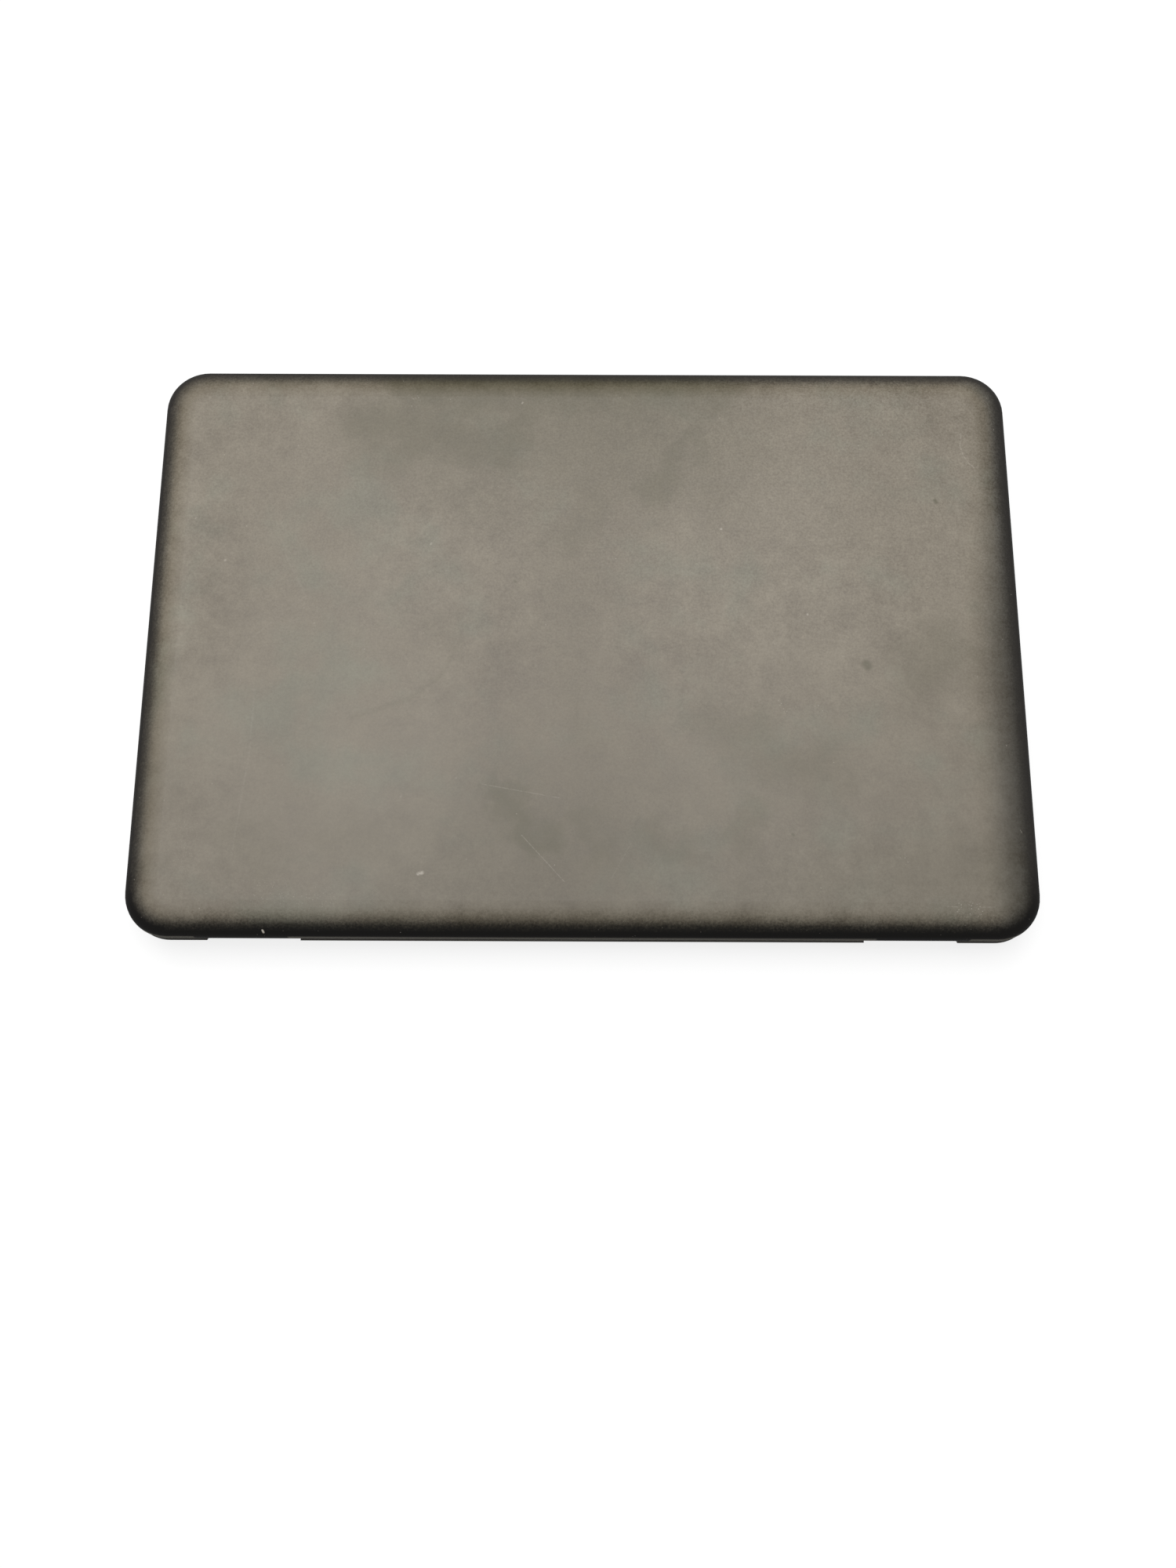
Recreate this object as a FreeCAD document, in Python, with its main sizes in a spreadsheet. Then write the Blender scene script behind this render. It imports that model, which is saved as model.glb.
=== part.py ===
import FreeCAD, Part
import math
import os
import re

import Sketcher
from FreeCAD import Placement, Rotation, Vector

# A closed 11.6 inch clamshell laptop. The frame: +Z is up, the front edge is towards -Y, the hinges are at
# +Y, and the origin lies on the table under the middle of the machine. All sizes are in millimetres.

# Driving sizes: name, value and what the value measures.
SIZES = {
    "lid_width": (303.0, "lid, side to side"),
    "lid_depth": (205.7, "lid, front edge to hinge edge"),
    "lid_thickness": (6.4, "lid, bezel face to back"),
    "lid_corner": (15.0, "radius of the lid's corners in plan"),
    "lid_roll": (6.0, "height of the rolled edge round the lid's back, and radius of its hinge roll"),
    "lid_crown": (12.0, "width of the rolled edge, seen from above"),
    "lid_edge": (4.0, "radius of the rolled edge at the lid's sides"),
    "lid_wall": (1.6, "wall of the lid's back cover"),
    "lid_gap": (0.6, "air between the closed lid and the deck"),
    "bezel_thickness": (1.4, "screen bezel"),
    "bezel_clearance": (0.4, "air between the bezel and the back cover's wall"),
    "screen_side": (23.3, "bezel beside the screen's window"),
    "screen_margin": (17.5, "bezel between the lid's front edge and the window"),
    "screen_chin": (43.8, "bezel between the window and the lid's hinge edge"),
    "panel_side_border": (5.4, "display panel past the window at each side"),
    "panel_front_border": (4.6, "display panel past the window at the front"),
    "panel_rear_border": (7.6, "display panel past the window at the hinge side"),
    "panel_corner": (1.5, "corner radius of the display panel"),
    "cell_thickness": (1.0, "glass cell of the display panel"),
    "backlight_thickness": (1.8, "backlight behind the cell"),
    "driver_side": (3.0, "driver board of the panel from the hinge arms"),
    "strip_board": (0.8, "small circuit boards in the lid and plug-in cards"),
    "driver_depth": (8.0, "driver board of the panel, front to back"),
    "driver_gap": (0.2, "air between the panel and its driver board"),
    "driver_plug_width": (20.0, "plug on the driver board, side to side"),
    "driver_plug_depth": (4.0, "plug on the driver board, front to back"),
    "driver_plug_height": (1.6, "plug on the driver board"),
    "driver_plug_inset": (16.0, "plug on the driver board from the cable, towards the middle"),
    "cable_inset": (33.0, "display cable from the left hinge, towards the middle"),
    "cable_width": (14.0, "display cable"),
    "cable_thickness": (0.6, "display cable"),
    "cable_end": (5.8, "display cable in the lid, from the hinge axis"),
    "cable_rear": (11.0, "rear end of the cable in the base before the hinge axis"),
    "cable_bend": (20.0, "bend of the cable in the base before the hinge axis"),
    "cable_z": (8.2, "underside of the cable's rear run in the base"),
    "cable_dip": (3.0, "front bend of the cable from the main board's edge"),
    "cable_front": (10.0, "front end of the cable from the main board's edge"),
    "webcam_width": (62.0, "camera board, side to side"),
    "webcam_depth": (6.0, "camera board and antennas, front to back"),
    "webcam_eye": (2.2, "camera on its board"),
    "antenna_width": (58.0, "antenna, side to side"),
    "bumper_width": (10.0, "rubber bumper of the lid, side to side"),
    "bumper_depth": (3.0, "rubber bumper of the lid, front to back"),
    "bumper_corner": (1.4, "corner radius of a bumper"),
    "bumper_inset": (24.5, "bumpers from the lid's sides"),
    "bumper_gap": (0.05, "air under the bumpers of the closed lid"),
    "base_thickness": (12.4, "base without its feet"),
    "base_inset": (0.3, "base inside the lid at the sides and the front"),
    "base_wall": (1.6, "side walls of the base"),
    "deck_wall": (1.6, "top case under the hands"),
    "deck_edge": (0.8, "round edge of the deck"),
    "floor_wall": (1.5, "floor of the bottom cover"),
    "cover_height": (4.2, "bottom cover, up to the seam with the top case"),
    "cover_roll": (3.8, "round lower edge of the bottom cover"),
    "rim_proud": (0.3, "rear rim of the base behind the lid's edge"),
    "rim_drop": (3.8, "top of the rear rim below the hinge axis"),
    "rear_slope": (30.0, "lean of the rear wall from upright, in degrees"),
    "trough_gap": (0.5, "air between the lid's hinge roll and its trough"),
    "trough_wall": (1.4, "wall of the trough in the top case"),
    "barrel_wall": (1.5, "wall of the half-round covers below the bezel"),
    "hinge_inset": (42.5, "hinges from the lid's sides"),
    "hinge_notch": (31.0, "notch in the rear rim at each hinge"),
    "notch_depth": (3.0, "notch below the top of the rim"),
    "hinge_window": (18.0, "opening in the bezel for each hinge"),
    "ear_thickness": (4.0, "knuckle of the base's hinge bracket, along the pin"),
    "ear_radius": (2.9, "knuckles round the hinge pin"),
    "ear_top": (1.1, "top of the bracket's arm below the hinge axis"),
    "ear_bottom": (2.6, "underside of the bracket's arm below the hinge axis"),
    "neck_front": (13.0, "front of the bracket's neck before the hinge axis"),
    "neck_depth": (3.5, "bracket's neck, front to back"),
    "plate_corner": (2.0, "corner radius of flat plates and boards"),
    "slit_gap": (0.6, "air beside the bracket's arm"),
    "foot_plate": (1.2, "plate of the hinge brackets and arms"),
    "bracket_drop": (2.0, "bosses between the deck and the bracket's plate"),
    "bracket_width": (36.0, "plate of the hinge bracket, side to side"),
    "bracket_depth": (10.0, "plate of the hinge bracket, front to back"),
    "bracket_reach": (13.5, "middle of the bracket's plate before the hinge axis"),
    "bracket_boss": (2.2, "radius of the bosses for the bracket's screws"),
    "bracket_screw_spacing": (22.0, "between the two screws of a bracket"),
    "arm_ear": (2.2, "knuckle of the lid's hinge arm, along the pin"),
    "arm_gap": (0.6, "air between the two knuckles of a hinge"),
    "arm_leaf_reach": (10.0, "leaf of the hinge arm past the hinge, towards the middle"),
    "arm_leaf_back": (4.7, "leaf of the hinge arm before the hinge axis"),
    "arm_leaf_depth": (22.0, "leaf of the hinge arm, front to back"),
    "arm_rail_width": (8.0, "rail of the hinge arm beside the panel"),
    "arm_rail_length": (70.0, "rail of the hinge arm beside the panel"),
    "arm_screw_inset": (5.0, "screws from the edges of the arm's leaf"),
    "arm_screw_out": (12.0, "outer screw of the arm's leaf from the hinge"),
    "pin_radius": (2.0, "hinge pin"),
    "pin_clearance": (0.05, "air round the pin in the bracket's knuckle"),
    "pin_head": (2.8, "radius of the pin's head and nut"),
    "pin_head_length": (1.4, "pin's head and nut, along the pin"),
    "pin_end": (0.4, "end of the pin past its nut"),
    "foot_height": (1.4, "rubber feet below the bottom cover"),
    "foot_length": (42.0, "rubber foot, side to side"),
    "foot_depth": (9.0, "rubber foot, front to back"),
    "foot_seat": (0.5, "pocket that a foot sits in"),
    "foot_corner": (3.5, "corner radius of a rubber foot"),
    "foot_edge": (0.5, "round lower edge of a rubber foot"),
    "foot_gap": (0.1, "air round a foot in its pocket"),
    "foot_side": (60.0, "middle of a foot from the side of the base"),
    "foot_inset": (12.0, "feet from the bottom cover's flat edge"),
    "deck_side": (16.2, "deck beside the keys"),
    "key_columns": (15.0, "key widths in a row"),
    "key_gap": (2.8, "between neighbouring keycaps"),
    "key_corner": (1.3, "corner radius of a keycap"),
    "key_height": (2.0, "keycap"),
    "key_taper": (10.0, "lean of a keycap's sides, in degrees"),
    "key_clearance": (0.4, "air between a keycap and the lattice"),
    "key_travel": (1.2, "how far a key goes down"),
    "key_recess": (0.2, "keycaps below the deck"),
    "function_depth": (11.0, "row of function keys, front to back"),
    "strip_depth": (16.0, "deck between the trough and the keyboard"),
    "lattice_recess": (1.0, "lattice below the deck"),
    "lattice_rib": (1.2, "height of the lattice between the keys"),
    "lattice_rim": (1.6, "lattice round the outer keys"),
    "lattice_flange": (1.6, "edge of the lattice under the deck"),
    "field_clearance": (0.2, "air round the lattice in the deck"),
    "plate_thickness": (0.6, "steel plate under the keys"),
    "membrane_thickness": (0.2, "switch membrane on the plate"),
    "membrane_inset": (0.3, "membrane inside the lattice"),
    "key_bottom_gap": (0.1, "air between a pressed key and the membrane"),
    "touchpad_width": (98.0, "touchpad, side to side"),
    "touchpad_margin": (12.15, "palm rest before and behind the touchpad"),
    "touchpad_corner": (3.0, "corner radius of the touchpad"),
    "touchpad_thickness": (1.2, "touchpad"),
    "touchpad_recess": (0.2, "touchpad below the deck"),
    "touchpad_clearance": (0.4, "air round the touchpad"),
    "touchpad_travel": (0.5, "how far the touchpad's front edge goes down"),
    "tray_gap": (0.2, "air under the pressed touchpad"),
    "tray_floor": (0.8, "plate under the touchpad"),
    "tray_room": (0.5, "tray's walls from the touchpad's hole"),
    "tray_wall": (3.5, "side walls of the touchpad's tray"),
    "button_width": (13.0, "power button, side to side"),
    "button_depth": (5.0, "power button, front to back"),
    "button_clearance": (0.3, "air round the power button"),
    "button_inset": (21.5, "power button from the deck's right edge"),
    "button_corner": (1.0, "corner radius of the power button"),
    "button_height": (1.9, "power button"),
    "button_recess": (0.1, "power button below the deck"),
    "scoop_width": (60.0, "finger scoop in the front edge"),
    "scoop_radius": (5.0, "curve of the finger scoop"),
    "scoop_depth": (0.9, "finger scoop, front to back"),
    "light_width": (6.0, "status light in the front edge"),
    "light_height": (1.4, "status light in the front edge"),
    "light_inset": (30.0, "status light from the left side"),
    "light_depth": (2.6, "status light, front to back"),
    "light_gap": (0.05, "air round the status light"),
    "lock_width": (7.0, "lock slot"),
    "lock_height": (3.0, "lock slot"),
    "lock_plate": (1.2, "steel plate behind the lock slot"),
    "lock_plate_width": (15.4, "steel plate behind the lock slot, front to back"),
    "usb_c_y": (56.0, "charging socket, left side"),
    "hdmi_y": (36.0, "screen socket, left side"),
    "usb_left_y": (12.0, "left USB socket"),
    "usb_right_y": (36.0, "right USB socket"),
    "jack_y": (14.0, "headphone socket, right side"),
    "lock_y": (58.0, "lock slot, right side"),
    "port_setback": (0.5, "sockets behind the side of the base"),
    "port_clearance": (0.3, "air round a socket in the side wall"),
    "shell_wall": (0.4, "metal shell of a socket"),
    "jack_radius": (1.8, "bore of the headphone socket"),
    "jack_collar": (2.7, "collar of the headphone socket"),
    "jack_height": (5.8, "block of the headphone socket"),
    "jack_depth": (12.0, "bore of the headphone socket"),
    "jack_block": (10.8, "block of the headphone socket, along its bore"),
    "jack_width": (6.4, "block of the headphone socket, front to back"),
    "jack_setback": (0.2, "headphone socket behind the side of the base"),
    "board_thickness": (1.0, "circuit boards"),
    "board_clearance": (1.0, "boards inside the side walls"),
    "post_height": (2.2, "posts under the circuit boards"),
    "post_radius": (2.4, "posts under the circuit boards"),
    "io_width": (42.0, "small board behind the right side's sockets, side to side"),
    "io_depth": (54.0, "small board, front to back"),
    "board_reach": (64.0, "right end of the main board from the middle"),
    "board_step": (34.0, "narrow part of the main board from the middle"),
    "board_overlap": (6.0, "main board behind the front of the keyboard"),
    "board_rear_gap": (4.0, "main board before the rear of the keyboard"),
    "board_screw_inset": (6.0, "screws from the edges of the boards"),
    "io_shift": (3.0, "small board before the middle of its sockets"),
    "chip_height": (1.2, "chips on the boards"),
    "processor_width": (25.0, "processor, side to side"),
    "processor_depth": (24.0, "processor, front to back"),
    "processor_x": (30.0, "processor left of the middle"),
    "processor_setback": (34.2, "processor before the main board's rear edge"),
    "memory_width": (12.0, "memory chip, side to side"),
    "memory_depth": (8.0, "memory chip, front to back"),
    "memory_corner": (0.3, "corner radius of a memory chip"),
    "memory_x": (72.0, "memory chips left of the middle"),
    "memory_pitch": (12.0, "memory chip to memory chip"),
    "spreader_thickness": (0.8, "heat spreader over the processor"),
    "spreader_width": (62.0, "heat spreader, side to side"),
    "spreader_depth": (50.0, "heat spreader, front to back"),
    "spreader_corner": (3.0, "corner radius of the heat spreader"),
    "ssd_length": (42.0, "storage card"),
    "ssd_x": (36.0, "storage card from the middle"),
    "ssd_setback": (26.2, "storage card before the main board's rear edge"),
    "wifi_length": (30.0, "radio card"),
    "wifi_x": (17.0, "radio card from the middle"),
    "wifi_setback": (24.0, "radio card behind the main board's front edge"),
    "card_width": (22.0, "plug-in cards"),
    "card_lift": (0.9, "plug-in cards above the main board, and their chips"),
    "card_plug": (5.0, "connector of a plug-in card"),
    "card_stand": (2.0, "stand under the free end of a card"),
    "cell_inset": (56.2, "clock battery from the base's left side"),
    "cell_y": (4.0, "clock battery from the middle"),
    "cell_radius": (10.0, "clock battery"),
    "cell_height": (3.0, "clock battery"),
    "battery_side": (9.6, "battery pack from the loudspeakers"),
    "battery_margin": (13.15, "battery pack from the front wall and from the main board"),
    "battery_thickness": (6.2, "battery pack"),
    "battery_corner": (2.5, "corner radius of the battery pack"),
    "battery_edge": (1.2, "round upper edge of the battery pack"),
    "speaker_width": (34.0, "loudspeaker, side to side"),
    "speaker_depth": (46.0, "loudspeaker, front to back"),
    "speaker_height": (6.0, "loudspeaker"),
    "speaker_corner": (3.0, "corner radius of a loudspeaker"),
    "speaker_edge": (1.0, "round upper edge of a loudspeaker"),
    "speaker_inset": (31.0, "middle of a loudspeaker from the inner side wall"),
    "slot_length": (14.0, "slots in the bottom cover"),
    "slot_width": (1.8, "slots in the bottom cover"),
    "slot_pitch": (4.0, "slot to slot"),
    "rail_gap": (1.2, "hinge arm's rail beside the panel"),
    "lens_radius": (2.6, "camera window in the bezel"),
    "lens_recess": (0.15, "camera window behind the bezel's face"),
    "lens_gap": (0.05, "air round the camera window"),
    "webcam_inset": (8.6, "camera from the lid's front edge"),
    "boss_radius": (2.6, "screw bosses of the top case"),
    "boss_inset": (9.0, "screw bosses from the inner side walls"),
    "boss_front": (5.0, "front screw bosses from the inner front wall"),
    "boss_middle": (8.0, "middle screw bosses in front of the keyboard"),
    "boss_bore_depth": (6.0, "screw holes in the bosses"),
    "cup_roof": (1.3, "floor under a screw's head"),
    "cup_height": (1.7, "screw cups of the bottom cover"),
    "cup_radius": (4.0, "screw cups of the bottom cover"),
    "screw_radius": (1.2, "shank of the case screws"),
    "screw_head": (2.4, "head radius of the case screws"),
    "screw_head_height": (1.3, "head of the case screws"),
    "screw_clearance": (0.05, "air round a screw's shank"),
    "small_screw": (0.9, "shank of the small screws inside"),
    "small_screw_head": (1.8, "head radius of the small screws inside"),
    "small_screw_cap": (1.0, "head of the small screws inside"),
    "screw_tip": (0.5, "end of a screw short of its hole's end"),
    "over": (1.0, "cutters past the faces that they cut"),
    "sink": (0.2, "bosses and posts into the walls that they stand on"),
}

# Places that several pieces share, worked out from the driving sizes.
PLACES = {
    "lid_y": "-rim_proud / 2",
    "front_y": "-(lid_depth + rim_proud) / 2",
    "rear_y": "(lid_depth + rim_proud) / 2",
    "base_width": "lid_width - 2 * base_inset",
    "base_depth": "lid_depth + rim_proud - base_inset",
    "base_y": "base_inset / 2",
    "base_front_y": "front_y + base_inset",
    "side_x": "base_width / 2",
    "wall_x": "side_x - base_wall",
    "base_corner": "lid_corner - base_inset",
    "floor_z": "foot_height + floor_wall",
    "split_z": "foot_height + cover_height",
    "deck_z": "foot_height + base_thickness",
    "ceiling_z": "deck_z - deck_wall",
    "bezel_z": "deck_z + lid_gap",
    "bezel_top_z": "bezel_z + bezel_thickness",
    "lid_top_z": "bezel_z + lid_thickness",
    "lid_ceiling_z": "lid_top_z - lid_wall",
    "hinge_z": "lid_top_z - lid_roll",
    "hinge_y": "rear_y - rim_proud - lid_roll",
    "hinge_x": "lid_width / 2 - hinge_inset",
    "cable_x": "cable_inset - hinge_x",
    "bumper_x": "lid_width / 2 - bumper_inset",
    "rim_z": "hinge_z - rim_drop",
    "trough_radius": "lid_roll + trough_gap",
    "trough_front_y": "hinge_y - trough_radius",
    "barrel_length": "lid_width - 2 * lid_corner",
    "bracket_z": "ceiling_z - bracket_drop - foot_plate",
    "leaf_top_z": "lid_ceiling_z - 0.5 * foot_plate",
    "leaf_z": "leaf_top_z - foot_plate",
    "key_pitch": "(base_width - 2 * deck_side) / key_columns",
    "keys_rear_y": "trough_front_y - strip_depth",
    "keys_depth": "function_depth + 5 * key_pitch",
    "keys_width": "15 * key_pitch",
    "keys_y": "keys_rear_y - keys_depth / 2",
    "keys_front_y": "keys_rear_y - keys_depth",
    "key_top_z": "deck_z - key_recess",
    "key_z": "key_top_z - key_height",
    "lattice_top_z": "deck_z - lattice_recess",
    "lattice_z": "lattice_top_z - lattice_rib",
    "field_width": "keys_width + 2 * lattice_rim",
    "field_depth": "keys_depth + 2 * lattice_rim",
    "membrane_z": "key_z - key_travel - key_bottom_gap - membrane_thickness",
    "plate_z": "membrane_z - plate_thickness",
    "touchpad_y": "(keys_front_y - lattice_rim + base_front_y) / 2",
    "touchpad_depth": "keys_front_y - lattice_rim - base_front_y - 2 * touchpad_margin",
    "touchpad_z": "deck_z - touchpad_recess - touchpad_thickness",
    "tray_z": "touchpad_z - touchpad_travel - tray_gap",
    "button_x": "side_x - button_inset",
    "button_y": "keys_rear_y + lattice_rim + (strip_depth - lattice_rim) / 2",
    "webcam_y": "front_y + webcam_inset",
    "light_x": "side_x - light_inset",
    "light_z": "(split_z + deck_z) / 2",
    "lock_z": "board_top_z + lock_height / 2",
    "board_z": "floor_z + post_height",
    "board_top_z": "board_z + board_thickness",
    "board_edge_x": "wall_x - board_clearance",
    "io_x": "board_edge_x - io_width / 2",
    "io_y": "(jack_y + usb_right_y) / 2 - io_shift",
    "board_front_y": "keys_front_y + board_overlap",
    "board_rear_y": "keys_rear_y - board_rear_gap",
    "processor_y": "board_rear_y - processor_setback",
    "cell_x": "base_width / 2 - cell_inset",
    "ssd_y": "board_rear_y - ssd_setback",
    "wifi_y": "board_front_y + wifi_setback",
    "jack_z": "board_top_z + jack_height / 2",
    "speaker_x": "wall_x - speaker_inset",
    "battery_y": "(board_front_y + base_front_y + base_wall) / 2",
    "battery_depth": "board_front_y - base_front_y - base_wall - 2 * battery_margin",
    "battery_width": "2 * (speaker_x - speaker_width / 2 - battery_side)",
    "foot_front_y": "base_front_y + cover_roll + foot_inset",
    "foot_rear_y": "hinge_y - foot_inset",
    "foot_x": "side_x - foot_side",
    "cup_z": "floor_z + cup_height",
    "screen_width": "lid_width - 2 * screen_side",
    "screen_height": "lid_depth - screen_margin - screen_chin",
    "screen_front_y": "front_y + screen_margin",
    "screen_y": "screen_front_y + screen_height / 2",
    "screen_rear_y": "screen_front_y + screen_height",
    "panel_rear_y": "screen_rear_y + panel_rear_border",
    "panel_front_y": "screen_front_y - panel_front_border",
    "panel_width": "screen_width + 2 * panel_side_border",
}

# Rows of keys from the rear to the front, each a list of runs: the node and its keys' widths in key pitches.
KEY_ROWS = [
    [("function_keys", 15 * [1])],
    [("number_keys", 13 * [1]), ("backspace_key", [2])],
    [("upper_letter_keys", [1.5] + 12 * [1] + [1.5])],
    [("home_letter_keys", [1.75] + 11 * [1]), ("enter_key", [2.25])],
    [("lower_letter_keys", [2.25] + 10 * [1] + [2.75])],
    [("modifier_keys", [1.25, 1, 1, 1.25]), ("space_bar", [5.25]), ("modifier_keys", [1, 1.25]),
     ("arrow_keys", [1, 1, 1])],
]

doc = FreeCAD.newDocument("laptop")
sheet = doc.addObject("Spreadsheet::Sheet", "sizes")
for row, (name, (value, note)) in enumerate(SIZES.items(), 1):
    sheet.set(f"A{row}", name)
    sheet.set(f"B{row}", str(value))
    sheet.setAlias(f"B{row}", name)
    sheet.set(f"C{row}", note)
places = doc.addObject("App::VarSet", "places")
nodes = {}


def formula(text, spell_out=False):
    """The text with each size written as its cell and each place as its property or its own formula."""
    def written(match):
        word = match.group(0)
        if word in SIZES:
            return "sizes." + word
        if word in PLACES:
            return "(" + formula(PLACES[word], True) + ")" if spell_out else "places." + word
        return word
    return re.sub(r"[a-z_]+", written, str(text))


for name, text in PLACES.items():
    places.addProperty("App::PropertyFloat", name, "places", text)
    places.setExpression(name, formula(text, True))
doc.recompute()


def bind(thing, **formulas):
    """Ties properties of a document object to formulas of the sizes."""
    for key, text in formulas.items():
        thing.setExpression(key, formula(text))
    return thing


def place(thing, x="0", y="0", z="0"):
    """Ties an object's position to formulas of the sizes."""
    for axis, text in zip("xyz", (x, y, z)):
        thing.setExpression("Placement.Base." + axis, formula(text))
    return thing


def node(name, thing):
    """Names a finished sub-part, which becomes one file."""
    thing.Label = name
    nodes[name] = thing
    return thing


# Part primitives and booleans.

def box(name, width, depth, height, x="0", y="0", z="0"):
    """A block with its middle at x and y and its underside at z."""
    block = doc.addObject("Part::Box", name)
    bind(block, Length=width, Width=depth, Height=height)
    return place(block, f"{x} - ({width}) / 2", f"{y} - ({depth}) / 2", z)


def cylinder(name, radius, height, x="0", y="0", z="0"):
    """An upright cylinder that stands on z."""
    return place(bind(doc.addObject("Part::Cylinder", name), Radius=radius, Height=height), x, y, z)


def rod(name, radius, length, x, y, z):
    """A cylinder along X with its middle at x, y and z."""
    bar = bind(doc.addObject("Part::Cylinder", name), Radius=radius, Height=length)
    bar.Placement = Placement(Vector(), Rotation(Vector(0, 1, 0), 90))
    return place(bar, f"{x} - ({length}) / 2", y, z)


def group(name, things):
    """Separate solids kept together in one object."""
    together = doc.addObject("Part::Compound", name)
    together.Links = things
    return together


def fuse(name, *things):
    joined = doc.addObject("Part::MultiFuse", name)
    joined.Shapes = list(things)
    joined.Refine = True
    return joined


def cut(name, thing, *tools):
    carved = doc.addObject("Part::Cut", name)
    carved.Base = thing
    carved.Tool = tools[0] if len(tools) == 1 else fuse(name + "_tools", *tools)
    carved.Refine = True
    return carved


def common(name, one, other):
    shared = doc.addObject("Part::Common", name)
    shared.Base = one
    shared.Tool = other
    shared.Refine = True
    return shared


def mirrored(name, thing):
    """The same piece on the other side of the machine."""
    twin = doc.addObject("Part::Mirroring", name)
    twin.Source = thing
    twin.Normal = Vector(1, 0, 0)
    return twin


# PartDesign bodies.

def new_body(name):
    return doc.addObject("PartDesign::Body", name)


def sketch_on(body, name, role):
    """An empty sketch on one of the body's own planes."""
    sketch = body.newObject("Sketcher::SketchObject", name)
    sketch.AttachmentSupport = [(next(f for f in body.Origin.OriginFeatures if f.Role == role), "")]
    sketch.MapMode = "FlatFace"
    return sketch


def dimension(sketch, name, text, *parts):
    """A named dimension of the sketch, tied to a formula."""
    index = sketch.addConstraint(Sketcher.Constraint(*parts))
    sketch.renameConstraint(index, name)
    sketch.setExpression("Constraints." + name, formula(text))


def rounded_outline(sketch, width, depth, radius):
    """A rectangle about the sketch's origin with round corners."""
    half_x, half_y, arc = 30.0, 20.0, 5.0
    ends = [(-1, -1), (1, -1), (1, 1), (-1, 1)]
    for side, (x, y) in enumerate(ends):
        across = side % 2 == 0
        next_x, next_y = ends[(side + 1) % 4]
        trim = Vector(arc, 0, 0) if across else Vector(0, arc, 0)
        sign = 1 if side < 2 else -1
        start = Vector(x * half_x, y * half_y, 0) + trim * sign
        end = Vector(next_x * half_x, next_y * half_y, 0) - trim * sign
        sketch.addGeometry(Part.LineSegment(start, end))
        centre = Vector(next_x * (half_x - arc), next_y * (half_y - arc), 0)
        begin = (side - 1) * math.pi / 2
        sketch.addGeometry(Part.ArcOfCircle(Part.Circle(centre, Vector(0, 0, 1), arc), begin,
                                            begin + math.pi / 2))
    for piece in range(8):
        sketch.addConstraint(Sketcher.Constraint("Tangent", piece, 2, (piece + 1) % 8, 1))
    for line, way in ((0, "Horizontal"), (2, "Vertical"), (4, "Horizontal"), (6, "Vertical")):
        sketch.addConstraint(Sketcher.Constraint(way, line))
    for other in (3, 5, 7):
        sketch.addConstraint(Sketcher.Constraint("Equal", 1, other))
    sketch.addConstraint(Sketcher.Constraint("Symmetric", 1, 3, 5, 3, -1, 1))
    dimension(sketch, "width", width, "DistanceX", 6, 1, 2, 1, 2 * half_x)
    dimension(sketch, "depth", depth, "DistanceY", 0, 1, 4, 1, 2 * half_y)
    dimension(sketch, "radius", radius, "Radius", 1, arc)


def polygon_outline(sketch, points):
    """A closed outline of straight lines, each corner tied to a pair of formulas."""
    count = len(points)
    turns = [2 * math.pi * i / count for i in range(count)]
    reach = 10.0                              # first guess of the corners, before the dimensions set them
    spots = [Vector(reach * math.cos(a), reach * math.sin(a), 0) for a in turns]
    for i in range(count):
        sketch.addGeometry(Part.LineSegment(spots[i], spots[(i + 1) % count]))
    for i in range(count):
        sketch.addConstraint(Sketcher.Constraint("Coincident", i, 2, (i + 1) % count, 1))
    for i, (x, y) in enumerate(points):
        dimension(sketch, f"across{i}", x, "DistanceX", i, 1, spots[i].x)
        dimension(sketch, f"along{i}", y, "DistanceY", i, 1, spots[i].y)


def extrude(body, name, sketch, length, both_ways=False, taper=None):
    """A Pad of the sketch along its normal."""
    pad = body.newObject("PartDesign::Pad", name)
    pad.Profile = sketch
    if both_ways:
        pad.SideType = "Symmetric"
    bind(pad, Length=length)
    if taper:
        bind(pad, TaperAngle=taper)
    return pad


def edges_at(feature, height):
    """Names of the feature's edges that lie level at this height."""
    return [f"Edge{i}" for i, edge in enumerate(feature.Shape.Edges, 1)
            if abs(edge.BoundBox.ZMin - height) < 1e-6 and edge.BoundBox.ZLength < 1e-6]


def round_edges(body, name, feature, top, radius):
    """A Fillet along all the level edges at the top or the bottom of a feature."""
    doc.recompute()
    bounds = feature.Shape.BoundBox
    fillet = body.newObject("PartDesign::Fillet", name)
    fillet.Base = (feature, edges_at(feature, bounds.ZMax if top else bounds.ZMin))
    return bind(fillet, Radius=radius)


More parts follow.
